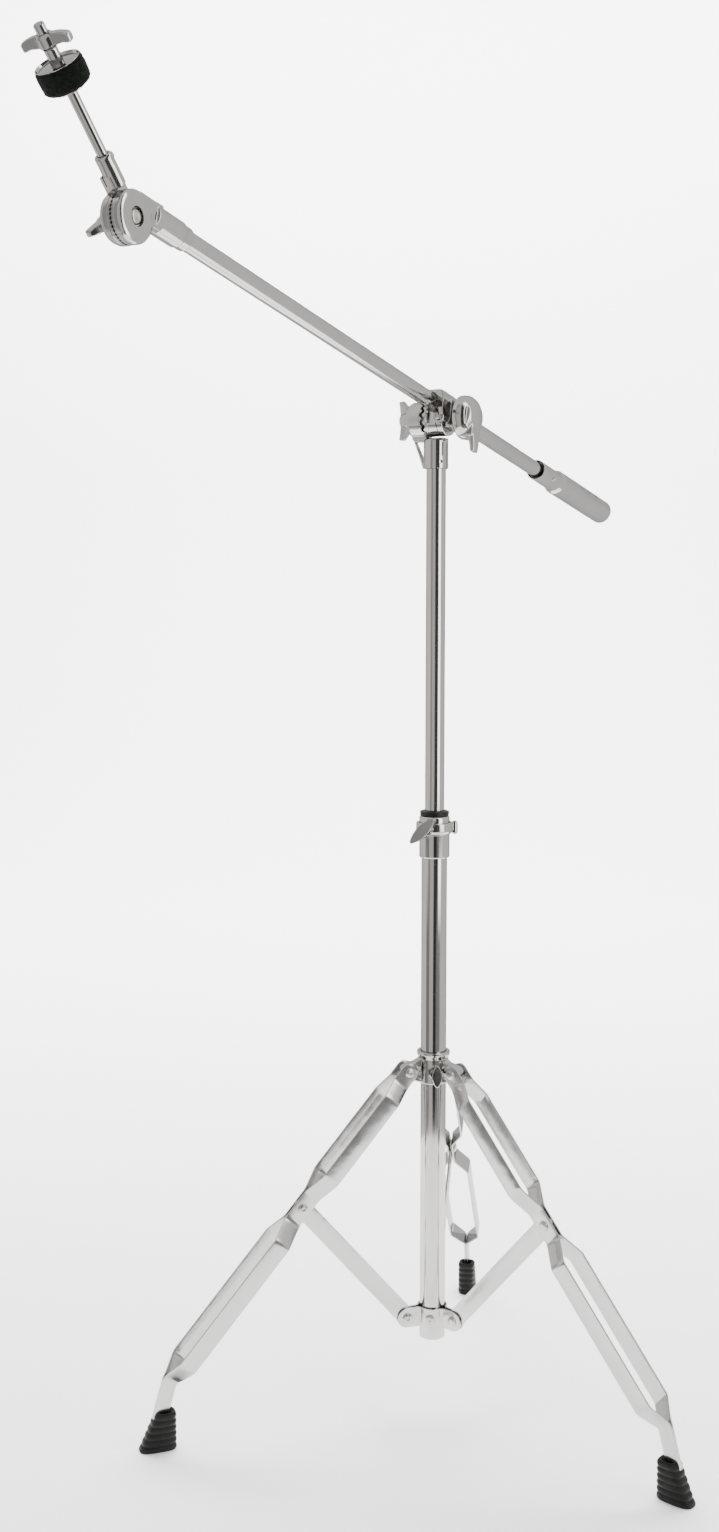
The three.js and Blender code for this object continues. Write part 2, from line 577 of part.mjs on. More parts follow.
// Local Z of this half runs along the cymbal rod.
function tilterRodHalf() {
  const { radius, gap, back } = TILTER;
  const near = gap - 0.4;
  const disc = alongX(turned([[0, back], [radius - 2.5, back], [radius - 0.8, back + 0.8],
    [radius, back + 2.5], [radius, near], [0, near]], FINE));
  const arm = block(back + 2, near, 2, 15.8, 8, 32);
  const sleeve = turned([[0, 20.4], [6.7, 20.4], [6.7, 44], [6, 45], [0, 45]])
    .translate(ROD.side, ROD.offset, 0);
  const bore = drum(ROD.radius + GAP, ROD.start - 1, 50, 16).translate(ROD.side, ROD.offset, 0);
  const screw = alongY(drum(1.9, 10, 30, 8)).translate(ROD.side, 0, 40);
  return cut(join(disc, arm, sleeve), bore, screw, alongX(drum(3.3, back - 2, near + 2, HOLE)));
}

function cymbalSeat() {
  const { bottom, felt: radius, floor, rim } = SEAT;
  const hole = ROD.radius + 0.5;
  const pad = turned([[hole, bottom], [radius - 1, bottom], [radius, bottom + 1], [radius, rim - 0.6],
    [radius - 0.6, rim], [17.2, rim], [17.2, floor], [hole, floor]], FINE);
  const cup = turned([[hole, floor + GAP], [16.9, floor + GAP], [16.9, rim + 0.5], [16.1, rim + 0.5],
    [16.1, floor + GAP + 1], [hole, floor + GAP + 1]], FINE);
  const washer = pipe(11.5, hole, bottom - 2, bottom - GAP, ROUND);
  return [
    node('felt_pad', pad, felt),
    node('cup_washer', cup, chrome),
    node('seat_washer', washer, chrome),
    group([0, 0, floor + 1.6], [0, 0, 3 * DEG], node('cymbal_wing_nut', cymbalNut(), chrome)),
  ];
}

// The cymbal wing nut: a long sleeve below, a hub, and two flat wings that dip slightly at the tips.
function cymbalNut() {
  const body = turned([[0, 0], [4.9, 0], [4.9, 13], [6.6, 14.5], [6.6, 21], [5.4, 23], [0, 23]]);
  const side = [[2, 13.5], [6, 13.5], [14, 14.5], [20, 13.6], [20.5, 20], [14, 22.6], [6, 23], [2, 23]];
  const wing = (sign) => plateXZ(side.map(([x, z]) => [sign * x, z]), -2.8, 2.8);
  return cut(join(body, wing(1), wing(-1)), drum(ROD.radius + GAP, -1, 25, 16));
}

function tilter() {
  const { front, back } = TILTER;
  const head = drum(5.6, front - 4, front - 0.4, 6);
  const bolt = alongX(join(head, drum(3, back - 15, front - 3, HOLE)));
  const nut = wingNut({
    seat: back - GAP, depth: -11, hubRadius: 7.5, bore: 3.3, reach: 20, blade: 5, sweep: 3, width: 7,
  });
  const rod = drum(ROD.radius, ROD.start, ROD.end, 16);
  const screw = alongY(turned([[0, 4.4], [1.6, 4.4], [1.6, 7], [2.8, 7], [2.8, 9.2], [0, 9.2]], 10));
  const lean = ROD_ELEVATION - BOOM_RISE - 90 * DEG;
  return group([0, -TILTER_REACH, -TILTER_DROP], [0, 0, 0],
    node('tilter_boom_half', tilterBoomHalf(), chrome),
    node('tilter_bolt', bolt, steel),
    group([0, 0, 0], [140 * DEG, 0, 0], node('tilter_wing_nut', nut, chrome)),
    group([0, 0, 0], [-lean, 0, 0],
      node('tilter_rod_half', tilterRodHalf(), chrome),
      at([ROD.side, ROD.offset, 40], node('rod_screw', screw, steel)),
      at([ROD.side, ROD.offset, 0], node('cymbal_rod', rod, chrome), ...cymbalSeat())));
}

// ---- the whole stand ----
const { radius: upperRadius, bore: upperBore, bottom: upperBottom, top: upperTop } = UPPER_TUBE;
const stand = new THREE.Group();
stand.add(
  node('base_tube', baseTube(), chrome),
  ...hub(),
  ...LEGS.map(leg),
  collar(),
  ...heightClamp(),
  node('upper_tube', pipe(upperRadius, upperBore, upperBottom, upperTop, FINE), chrome),
  boomHolder(),
);
stand.updateMatrixWorld(true);
const box = new THREE.Box3().setFromObject(stand, true);
const middle = box.getCenter(new THREE.Vector3());
stand.position.set(-middle.x, -middle.y, -box.min.z);

export default stand;
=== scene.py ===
"""Looks for the cymbal boom stand. Shapes are made in millimetres in the local frame of each mechanism,
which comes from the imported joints, and are placed in metres in the row frame."""
import json
from math import asin, copysign, cos, degrees, hypot, pi, radians, sin, sqrt, tan

import bmesh
import bpy
from mathutils import Matrix, Vector
from mathutils import noise as solid_noise


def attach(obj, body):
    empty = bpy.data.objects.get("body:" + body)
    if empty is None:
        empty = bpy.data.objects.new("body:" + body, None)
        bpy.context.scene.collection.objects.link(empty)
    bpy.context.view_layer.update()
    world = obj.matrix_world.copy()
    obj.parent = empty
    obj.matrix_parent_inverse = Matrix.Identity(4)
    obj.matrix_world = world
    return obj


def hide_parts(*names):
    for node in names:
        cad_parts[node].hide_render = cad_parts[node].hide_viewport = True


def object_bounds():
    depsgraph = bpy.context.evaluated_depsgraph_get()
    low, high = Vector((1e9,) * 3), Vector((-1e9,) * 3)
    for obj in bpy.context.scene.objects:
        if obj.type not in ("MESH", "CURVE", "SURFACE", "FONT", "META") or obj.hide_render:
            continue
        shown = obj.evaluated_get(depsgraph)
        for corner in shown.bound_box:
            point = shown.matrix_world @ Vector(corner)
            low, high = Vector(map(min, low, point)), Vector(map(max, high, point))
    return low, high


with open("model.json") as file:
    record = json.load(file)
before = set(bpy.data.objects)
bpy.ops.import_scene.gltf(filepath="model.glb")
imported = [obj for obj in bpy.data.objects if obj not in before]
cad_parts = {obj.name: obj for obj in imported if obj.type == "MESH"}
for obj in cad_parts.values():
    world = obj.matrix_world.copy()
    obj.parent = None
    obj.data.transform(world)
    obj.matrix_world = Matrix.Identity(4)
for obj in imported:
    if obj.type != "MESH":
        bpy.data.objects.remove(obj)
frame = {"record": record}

MM = 0.001
cad_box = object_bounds()
record = frame["record"]
JOINTS = {joint["name"]: joint for joint in record["behaviour"]["joints"]}
BODY_OF = {node: body for body, nodes in record["behaviour"]["bodies"].items() for node in nodes}
LEGS = ("rear", "left", "right")

# ---- driving dimensions, mm ----
BASE_TUBE = {"radius": 12.7, "bore": 11.0, "bottom": 72.0, "top": 590.0}
UPPER_TUBE = {"radius": 9.525, "bore": 8.3, "bottom": 455.0, "top": 963.0}
BOOM_TUBE = {"radius": 7.95, "bore": 6.7, "bottom": -449.0, "top": 340.0}
PIVOT_RADIUS = 28.0
HUB_HEIGHT = JOINTS["legs_fold"]["pos_m"][2] / MM
LUG_HEIGHT = JOINTS["collar_level"]["pos_m"][2] / MM
LEG_LEAN = radians(40.7)
LINK = 167.9
STRAP = {"half_width": 9.0, "thickness": 2.0, "upper": 14.5, "lower": 15.5, "tang": 374.0,
         "tang_length": 38.0}
TANG_LEAN = radians(16)
LUG_HALF = 6.0
GAP = 0.3
BRACE_HALF = 9.0
BRACE_GRIP = 1.5 * STRAP["thickness"] + GAP
HUB_PLATE = {"wrap": 14.0, "bend": 3.2, "foot": 15.5, "ear_end": 38.0, "half_width": 10.0}
FOOT = {"top": 37.0, "ribs": 6, "half_width": 10.4, "sides": 64, "squareness": 3.1}
RATCHET = {"radius": 17.0, "gap": -7.0, "left": -27.0, "teeth": 14, "depth": 3.4}
BARREL = 16.4
BOOM_AT = (4.0, 0.0, 11.1)
BOOM_HOLE = BOOM_TUBE["radius"] + GAP
ROD_HOLE = 4.0 + GAP
BOLT_HOLE = 3.1
HOOK = {"thickness": 6.9, "front": -24.0, "back": 8.8, "face": 14.35, "end": 25.8}
TILT = {"radius": 19.5, "front": 8.0, "gap": -1.0, "back": -13.0, "drop": 9.85}
TILT_TEETH = {"teeth": 40, "depth": 0.9}
SEAT = {"bottom": 96.0, "felt": 18.3, "floor": 109.5, "rim": 113.3}

# ---- studio, m ----
CAMERA = {"back": 1.6425, "height": 0.8278, "pitch": -0.1062, "yaw": 0.0449, "lens": 39.59}
SWEEP = {"half_width": 30.0, "near": 30.0, "far": 4.0, "bend": 1.2, "wall": 5.0}
TENT = {"radius": 0.8, "low": 0.002, "high": 2.6, "sides": 96}
# Stops of the tent's brightness: degrees to the camera's right, and a level, for its lower and upper part.
BRIGHTEST = 8.0
LOW_LEVELS = [(-180, 1.1), (-76, 1.1), (-68, 0.30), (-44, 0.30), (-38, 0.78), (-9, 0.78), (-4, 0.05),
              (15, 0.05), (20, 0.30), (50, 0.36), (60, 0.95), (180, 1.1)]
HIGH_LEVELS = [(-180, 1.1), (-62, 1.1), (-52, 0.45), (-40, 0.45), (-32, 0.8), (-8, 0.75), (-1, 0.08),
               (32, 0.08), (39, 5.5), (57, 5.5), (64, 0.95), (180, 1.1)]
# A colour mix node has sockets for other types before its own two colours and its result.
MIX_FIRST, MIX_SECOND, MIX_RESULT = 6, 7, 2


# ---- local frames ----
def axes(origin, x, y, z):
    """A matrix that takes millimetres in a local frame to metres in the row frame."""
    turn = Matrix((x, y, z)).transposed().to_4x4()
    return Matrix.Translation(origin) @ turn @ Matrix.Scale(MM, 4)


def spin(degrees, axis):
    return Matrix.Rotation(radians(degrees), 4, axis)


def moved(matrix, x=0.0, y=0.0, z=0.0):
    return matrix @ Matrix.Translation((x, y, z))


X, Y, Z = (Vector(v) for v in ((1, 0, 0), (0, 1, 0), (0, 0, 1)))
# These take a shape made along Z to one along X or Y.
ALONG_X = Matrix.Rotation(pi / 2, 4, "Y")
ALONG_Y = Matrix.Rotation(-pi / 2, 4, "X")
holder_at = Vector(JOINTS["boom_swivel"]["pos_m"])
MAST = axes(Vector((holder_at.x, holder_at.y, 0)), X, Y, Z)
tilt_axis = -Vector(JOINTS["boom_tilt"]["axis"])
boom_dir = Vector(JOINTS["boom_slide"]["axis"])
rod_dir = Vector(JOINTS["cymbal_nut_lift"]["axis"])
HOLDER = axes(holder_at, tilt_axis, Z.cross(tilt_axis), Z)
CLAMP = axes(holder_at, tilt_axis, -boom_dir, tilt_axis.cross(-boom_dir))
BOOM = moved(CLAMP, *BOOM_AT)
tilter_at = Vector(JOINTS["tilter_tilt"]["pos_m"])
TILTER = axes(tilter_at, tilt_axis, -boom_dir, tilt_axis.cross(-boom_dir))
ROD_HALF = axes(tilter_at, tilt_axis, rod_dir.cross(tilt_axis), rod_dir)
ROD = moved(ROD_HALF, -4.0, 9.0, 0.0)


def leg_frame(leg):
    """X points outwards along the leg, Z up."""
    joint = "legs_fold" if leg == "left" else f"brace_{leg}_fold"
    out = Vector(JOINTS[joint]["pos_m"]) - MAST.translation
    out.z = 0
    out.normalize()
    return axes(MAST.translation, out, Z.cross(out), Z)


def radial_frame(joint):
    """X along the axis of a radial bolt, at its height on the mast."""
    out = Vector(JOINTS[joint]["axis"])
    height = JOINTS[joint]["pos_m"][2]
    return axes(MAST.translation + Z * height, out, Z.cross(out), Z)


# ---- outlines ----
def arc(cx, cy, radius, start, end, steps):
    turns = (radians(start + (end - start) * i / steps) for i in range(steps + 1))
    return [(cx + radius * cos(t), cy + radius * sin(t)) for t in turns]


def rounded(points, radius, steps=4, closed=True):
    """Rounds the corners of an outline. A third value at a point is its own radius."""
    count = len(points)
    result = []
    for i, point in enumerate(points):
        if not closed and i in (0, count - 1):
            result.append(Vector(point[:2]))
            continue
        here = Vector(point[:2])
        before = Vector(points[i - 1][:2]) - here
        after = Vector(points[(i + 1) % count][:2]) - here
        wanted = point[2] if len(point) > 2 else radius
        turn = before.angle(after, pi)
        if wanted <= 0 or turn > radians(172):
            result.append(here)
            continue
        reach = min(wanted / tan(turn / 2), 0.46 * before.length, 0.46 * after.length)
        first, last = here + before.normalized() * reach, here + after.normalized() * reach
        for k in range(steps + 1):
            s = k / steps
            result.append((1 - s) ** 2 * first + 2 * s * (1 - s) * here + s * s * last)
    return [(p.x, p.y) for p in result]


# ---- meshes, in mm ----
def new_mesh(build):
    bm = bmesh.new()
    build(bm)
    bmesh.ops.remove_doubles(bm, verts=bm.verts, dist=1e-4)
    bmesh.ops.recalc_face_normals(bm, faces=bm.faces)
    mesh = bpy.data.meshes.new("shape")
    bm.to_mesh(mesh)
    bm.free()
    return mesh


def lathe(outline, sides=72, radius=0.4, turn=None):
    """A body of revolution about Z. The outline closes on itself unless it starts and ends on the axis."""
    open_ends = outline[0][0] == 0
    profile = rounded(outline, radius, closed=not open_ends)

    def build(bm):
        rings = []
        for r, z in profile:
            if r < 1e-6:
                rings.append([bm.verts.new((0, 0, z))])
            else:
                rings.append([bm.verts.new((r * cos(a), r * sin(a), z))
                              for a in (2 * pi * k / sides for k in range(sides))])
        pairs = list(zip(rings, rings[1:]))
        if not open_ends:
            pairs.append((rings[-1], rings[0]))
        for low, high in pairs:
            for k in range(sides):
                n = (k + 1) % sides
                corners = [low[k % len(low)], low[n % len(low)], high[n % len(high)], high[k % len(high)]]
                unique = list(dict.fromkeys(corners))
                if len(unique) > 2:
                    bm.faces.new(unique)

    return placed(new_mesh(build), turn or Matrix())


def drum(radius, low, high, sides=48, turn=None, at=(0, 0, 0), edge=0.0):
    mesh = lathe([(0, low), (radius, low), (radius, high), (0, high)], sides, edge, turn)
    return placed(mesh, Matrix.Translation(at))


def slab(outline, low, high, plane="XZ"):
    """A plate with the given outline, from low to high across its plane."""
    def build(bm):
        place = {"XZ": lambda a, b, c: (a, c, b), "XY": lambda a, b, c: (a, b, c),
                 "YZ": lambda a, b, c: (c, a, b)}[plane]
        bottom = [bm.verts.new(place(a, b, low)) for a, b in outline]
        top = [bm.verts.new(place(a, b, high)) for a, b in outline]
        bm.faces.new(bottom)
        bm.faces.new(top)
        for i in range(len(outline)):
            n = (i + 1) % len(outline)
            bm.faces.new((bottom[i], bottom[n], top[n], top[i]))
    return new_mesh(build)


def placed(mesh, matrix):
    mesh.transform(matrix)
    return mesh


def box(x0, x1, y0, y1, z0, z1):
    return slab([(x0, y0), (x1, y0), (x1, y1), (x0, y1)], z0, z1, "XY")


def loft(sections):
    """A closed skin over rings of points that all have the same count."""
    def build(bm):
        rings = [[bm.verts.new(p) for p in section] for section in sections]
        bm.faces.new(rings[0])
        bm.faces.new(rings[-1])
        for low, high in zip(rings, rings[1:]):
            for k in range(len(low)):
                n = (k + 1) % len(low)
                bm.faces.new((low[k], low[n], high[n], high[k]))
    return new_mesh(build)


def strip(stations, edge=0.55):
    """A flat bar: each station gives its centre, thickness direction, width direction and half width."""
    sections = []
    for centre, through, across, half in stations:
        w, t = max(half, 0.2), STRAP["thickness"] / 2
        e = min(edge, w * 0.6)
        ring = rounded([(-w, -t), (w, -t), (w, t), (-w, t)], e, steps=3)
        sections.append([centre + across * a + through * b for a, b in ring])
    return loft(sections)


def interpolated(points, s):
    """The value of a polyline at s, held at its ends."""
    for (s0, v0), (s1, v1) in zip(points, points[1:]):
        if s <= s1:
            return v0 + (v1 - v0) * max(s - s0, 0) / (s1 - s0)
    return points[-1][1]


def stepped(points, start, end, step, soften):
    """Values of a polyline at regular steps, with its corners softened over a length."""
    count = round((end - start) / step)
    places = [start + (end - start) * i / count for i in range(count + 1)]
    spread = (-1, -0.6, -0.2, 0.2, 0.6, 1)
    return [(s, sum(interpolated(points, s + k * soften) for k in spread) / len(spread)) for s in places]


def temporary(mesh):
    thing = bpy.data.objects.new("temporary", mesh)
    bpy.context.scene.collection.objects.link(thing)
    return thing


def settled(thing):
    """The object's mesh with its modifiers applied; the object goes."""
    depsgraph = bpy.context.evaluated_depsgraph_get()
    mesh = bpy.data.meshes.new_from_object(thing.evaluated_get(depsgraph))
    bpy.data.objects.remove(thing)
    return mesh


def merged(*meshes):
    bm = bmesh.new()
    for mesh in meshes:
        bm.from_mesh(mesh)
    mesh = bpy.data.meshes.new("merged")
    bm.to_mesh(mesh)
    bm.free()
    return mesh


def carved(mesh, *cutters):
    """The mesh with the cutters taken away."""
    for cutter in cutters:
        body, tool = temporary(mesh), temporary(cutter)
        cut = body.modifiers.new("cut", "BOOLEAN")
        cut.operation, cut.solver, cut.object = "DIFFERENCE", "EXACT", tool
        mesh = settled(body)
        bpy.data.objects.remove(tool)
    return mesh


def cast(shells, cutters=(), voxel=0.5, passes=7):
    """Overlapping shells fused and softened like a die casting, then machined by sharp cutters."""
    thing = temporary(merged(*shells))
    fuse = thing.modifiers.new("fuse", "REMESH")
    fuse.mode, fuse.voxel_size = "VOXEL", voxel * 1.0
    relax = thing.modifiers.new("relax", "SMOOTH")
    relax.factor, relax.iterations = 0.5, passes
    return carved(settled(thing), *cutters)


# ---- pieces ----
def stand_for(node, mesh, place, material, crease=38):
    """Puts a mesh in the row frame as the piece that stands for a CAD node."""
    mesh.transform(place)
    mesh.name = name = f"{node}_finish"
    mesh.shade_smooth()
    mesh.set_sharp_from_angle(angle=radians(crease))
    mesh.materials.clear()
    mesh.materials.append(material)
    thing = bpy.data.objects.new(name, mesh)
    bpy.context.scene.collection.objects.link(thing)
    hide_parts(node)
    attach(thing, BODY_OF[node])
    return thing


# ---- materials ----
def shader(name, base, metallic, roughness):
    material = bpy.data.materials.new(name)
    material.use_nodes = True
    tree = material.node_tree
    bsdf = tree.nodes["Principled BSDF"]
    bsdf.inputs["Base Color"].default_value = (*base, 1)
    bsdf.inputs["Metallic"].default_value = metallic
    bsdf.inputs["Roughness"].default_value = roughness
    return material, tree, bsdf


def mapped(tree, scale, direction=None):
    """Object coordinates in metres, scaled; with a direction, Z runs along it."""
    coords = tree.nodes.new("ShaderNodeTexCoord")
    mapping = tree.nodes.new("ShaderNodeMapping")
    tree.links.new(coords.outputs["Object"], mapping.inputs["Vector"])
    mapping.inputs["Scale"].default_value = scale
    if direction is not None:
        spin = tree.nodes.new("ShaderNodeVectorRotate")
        spin.rotation_type = "EULER_XYZ"
        spin.inputs["Rotation"].default_value = direction.rotation_difference(Z).to_euler()
        tree.links.new(coords.outputs["Object"], spin.inputs["Vector"])
        tree.links.new(spin.outputs["Vector"], mapping.inputs["Vector"])
    return mapping.outputs["Vector"]


def noise(tree, scale, direction=None, detail=4.0, rough=0.55):
    """Noise with its own scale on each axis, in steps per metre."""
    node = tree.nodes.new("ShaderNodeTexNoise")
    node.inputs["Scale"].default_value = 1.0
    node.inputs["Detail"].default_value = detail
    node.inputs["Roughness"].default_value = rough
    tree.links.new(mapped(tree, scale, direction), node.inputs["Vector"])
    return node.outputs["Fac"]


def ranged(tree, value, low, high, start=0.3, end=0.7):
    node = tree.nodes.new("ShaderNodeMapRange")
    node.inputs["From Min"].default_value = start
    node.inputs["From Max"].default_value = end
    node.inputs["To Min"].default_value = low
    node.inputs["To Max"].default_value = high
    tree.links.new(value, node.inputs["Value"])
    return node.outputs["Result"]


def tinted(tree, value, dark, light, start=0.3, end=0.7):
    ramp = tree.nodes.new("ShaderNodeValToRGB")
    ramp.color_ramp.elements[0].position, ramp.color_ramp.elements[0].color = start, (*dark, 1)
    ramp.color_ramp.elements[1].position, ramp.color_ramp.elements[1].color = end, (*light, 1)
    tree.links.new(value, ramp.inputs["Fac"])
    return ramp.outputs["Color"]


def varied(tree, bsdf, value, colours, roughness, start=0.3, end=0.7):
    """One noise moves the colour and the roughness together."""
    tree.links.new(tinted(tree, value, *colours, start, end), bsdf.inputs["Base Color"])
    tree.links.new(ranged(tree, value, *roughness), bsdf.inputs["Roughness"])


def bumped(tree, bsdf, *layers):
    """Stacks bump layers of (height, strength, distance in metres)."""
    normal = None
    for height, strength, distance in layers:
        bump = tree.nodes.new("ShaderNodeBump")
        bump.inputs["Strength"].default_value = strength
        bump.inputs["Distance"].default_value = distance
        tree.links.new(height, bump.inputs["Height"])
        if normal is not None:
            tree.links.new(normal, bump.inputs["Normal"])
        normal = bump.outputs["Normal"]
    tree.links.new(normal, bsdf.inputs["Normal"])


def chrome(name, direction=None, base=(0.55, 0.54, 0.525), smooth=0.07, dull=0.15, wave=0.35):
    """Chrome plate: polishing lines along a direction, faint smears, and a slow unevenness of the metal."""
    material, tree, bsdf = shader(name, base, 1.0, smooth)
    lines = noise(tree, (900, 900, 14) if direction else (500, 500, 500), direction, 3)
    smears = noise(tree, (38, 38, 20), direction, 5)
    slow = noise(tree, (60, 60, 9) if direction else (75, 75, 75), direction, 1)
    varied(tree, bsdf, smears, (tuple(0.93 * c for c in base), base), (smooth, dull))
    bsdf.inputs["Specular Tint"].default_value = (0.55, 0.55, 0.55, 1)
    bumped(tree, bsdf, (slow, wave, 0.0006), (lines, 0.05, 0.00006))
    return material


MAST_CHROME = chrome("mast_chrome", Z, smooth=0.06, dull=0.12, wave=0.12)
BOOM_CHROME = chrome("boom_chrome", boom_dir, smooth=0.08, dull=0.16, wave=0.15)
ROD_CHROME = chrome("rod_chrome", rod_dir, smooth=0.06, dull=0.12, wave=0.1)
CAST_CHROME = chrome("cast_chrome", base=(0.54, 0.525, 0.51), smooth=0.08, dull=0.17, wave=0.3)
STRAP_CHROME = chrome("strap_chrome", base=(0.58, 0.575, 0.57), smooth=0.12, dull=0.24, wave=0.3)
PLATE_CHROME = chrome("plate_chrome", base=(0.54, 0.53, 0.52), smooth=0.12, dull=0.22, wave=0.35)


def plated_steel():
    """Bright zinc-plated steel, grained, with duller patches."""
    material, tree, bsdf = shader("plated_steel", (0.62, 0.61, 0.59), 1.0, 0.28)
    grain = noise(tree, (700, 700, 700), detail=5)
    patches = noise(tree, (160, 160, 160), detail=3)
    varied(tree, bsdf, patches, ((0.48, 0.46, 0.43), (0.68, 0.67, 0.65)), (0.2, 0.42))
    bumped(tree, bsdf, (grain, 0.25, 0.0001))
    return material


def rubber():
    """Moulded rubber: matt black with a fine skin, greyer where it has been scuffed."""
    material, tree, bsdf = shader("foot_rubber", (0.035, 0.035, 0.033), 0.0, 0.6)
    skin = noise(tree, (1500, 1500, 1500))
    scuffs = noise(tree, (140, 140, 60), detail=6, rough=0.65)
    varied(tree, bsdf, scuffs, ((0.0045, 0.0045, 0.0043), (0.012, 0.012, 0.0112)), (0.42, 0.62), 0.35, 0.78)
    bsdf.inputs["Specular IOR Level"].default_value = 0.2
    bumped(tree, bsdf, (scuffs, 0.25, 0.0004), (skin, 0.3, 0.00015))
    return material


def nylon():
    """Injection-moulded black nylon with a fine spark-eroded texture."""
    material, tree, bsdf = shader("black_nylon", (0.02, 0.02, 0.02), 0.0, 0.42)
    texture = noise(tree, (2200, 2200, 2200), detail=2)
    cloud = noise(tree, (260, 260, 260))
    varied(tree, bsdf, cloud, ((0.006, 0.006, 0.006), (0.013, 0.013, 0.0135)), (0.34, 0.52))
    bsdf.inputs["Specular IOR Level"].default_value = 0.25
    bumped(tree, bsdf, (texture, 0.3, 0.0001))
    return material


def felt():
    """Pressed wool: matted fibres in a greenish black, with paler loose hairs."""
    material, tree, bsdf = shader("wool_felt", (0.02, 0.026, 0.021), 0.0, 0.95)
    mat = noise(tree, (420, 420, 900), detail=8, rough=0.7)
    hairs = tree.nodes.new("ShaderNodeTexVoronoi")
    hairs.feature = "DISTANCE_TO_EDGE"
    hairs.inputs["Scale"].default_value = 900
    tree.links.new(mapped(tree, (1, 1, 2.2)), hairs.inputs["Vector"])
    patches = noise(tree, (120, 120, 160))
    tree.links.new(tinted(tree, mat, (0.0016, 0.0022, 0.0017), (0.009, 0.012, 0.009), 0.35, 0.75),
                   bsdf.inputs["Base Color"])
    bsdf.inputs["Sheen Weight"].default_value = 0.03
    bsdf.inputs["Sheen Roughness"].default_value = 0.5
    bsdf.inputs["Specular IOR Level"].default_value = 0.05
    bumped(tree, bsdf, (patches, 0.5, 0.0006), (mat, 0.9, 0.0005), (hairs.outputs["Distance"], 0.4, 0.0003))
    return material


STEEL = plated_steel()
RUBBER = rubber()
NYLON = nylon()
FELT = felt()


# ---- tripod ----
def leg_centre(s):
    """Where the leg's centre line is in its own plane, and its lean there."""
    along, past = min(s, STRAP["tang"]), max(s - STRAP["tang"], 0)
    x = PIVOT_RADIUS + sin(LEG_LEAN) * along + sin(TANG_LEAN) * past
    z = LUG_HEIGHT - cos(LEG_LEAN) * along - cos(TANG_LEAN) * past
    swing = min(max((s - STRAP["tang"] + 8) / 16, 0), 1)
    return Vector((x, 0, z)), LEG_LEAN + (TANG_LEAN - LEG_LEAN) * swing


def strap_stations(side):
    half, t = STRAP["half_width"], STRAP["thickness"]
    at_lug, at_brace, at_tang = LUG_HALF + GAP + t / 2, t + GAP, (t + GAP) / 2
    end = STRAP["tang"] + STRAP["tang_length"]
    offsets = [(-9, at_lug), (14, at_lug), (32, STRAP["upper"]), (130, STRAP["upper"]), (152, at_brace),
               (184, at_brace), (206, STRAP["lower"]), (352, STRAP["lower"]), (372, at_tang), (end, at_tang)]
    widths = [(0, half), (350, half), (376, half * 0.82), (end, half * 0.8)]
    stations = []
    for s, offset in stepped(offsets, -half + 0.1, end, 2.0, 1.6):
        centre, lean = leg_centre(s)
        width = interpolated(widths, s)
        if s < 0:
            width = sqrt(max(half * half - s * s, 0.3))
        across = Vector((cos(lean), 0, sin(lean)))
        stations.append((centre + Y * side * offset, Y, across, width))
    return stations


def make_strap(leg, letter, side):
    stand_for(f"leg_strap_{letter}_{leg}", strip(strap_stations(side)), leg_frame(leg), STRAP_CHROME, 30)


def make_brace(leg):
    """A flat bar with round ends, from the hub to the leg."""
    half, steps, stations = BRACE_HALF, 60, []
    knee, _ = leg_centre(LINK)
    hub = Vector((PIVOT_RADIUS, 0, HUB_HEIGHT))
    along = (knee - hub).normalized()
    across = along.cross(Y)
    for i in range(steps + 1):
        s = -half + (LINK + 2 * half) * i / steps
        past = max(-s, s - LINK, 0)
        width = sqrt(max(half * half - past * past, 0.3))
        inset = {0: 0.1, steps: -0.1}.get(i, 0)
        stations.append((hub + along * (s + inset), Y, across, width))
    stand_for(f"brace_{leg}", strip(stations), leg_frame(leg), STRAP_CHROME, 30)


def rivet_mesh(half_grip, head=5.0, crown=1.9):
    """A rivet along Y: a factory head, and a rolled-over head with its small dimple."""
    end = half_grip + GAP
    outline = [(0, -end - crown), (head * 0.45, -end - crown), (head * 0.92, -end - crown * 0.55, 1.0),
               (head, -end, 0.2), (2.7, -end, 0.1), (2.7, end, 0.1), (head, end, 0.2),
               (head * 0.9, end + crown * 0.6, 1.0), (head * 0.42, end + crown, 0.5),
               (1.6, end + crown * 0.45, 0.4), (0, end + crown * 0.35)]
    return lathe(outline, 40, 0.9, ALONG_Y)


def make_rivets(leg):
    place = leg_frame(leg)
    knee, _ = leg_centre(LINK)
    spots = {"brace_rivet": (knee.x, knee.z, BRACE_GRIP),
             "hub_rivet": (PIVOT_RADIUS, HUB_HEIGHT, BRACE_GRIP),
             "collar_rivet": (PIVOT_RADIUS, LUG_HEIGHT, LUG_HALF + GAP + STRAP["thickness"])}
    for name, (x, z, grip) in spots.items():
        stand_for(f"{name}_{leg}", rivet_mesh(grip), moved(place, x, 0, z), STEEL)
    blind = lathe([(0, 9.4), (3.1, 9.4), (3.3, 10.2), (2.3, 10.3), (2.3, 15.3), (4.6, 15.35, 0.2),
                   (4.1, 16.6, 0.8), (1.9, 17.2, 0.5), (1.3, 16.6, 0.3), (0, 16.5)], 40, 0.3, ALONG_X)
    stand_for(f"hub_tube_rivet_{leg}", blind, moved(place, 0, 0, HUB_HEIGHT) @ spin(60, "Z"), STEEL)


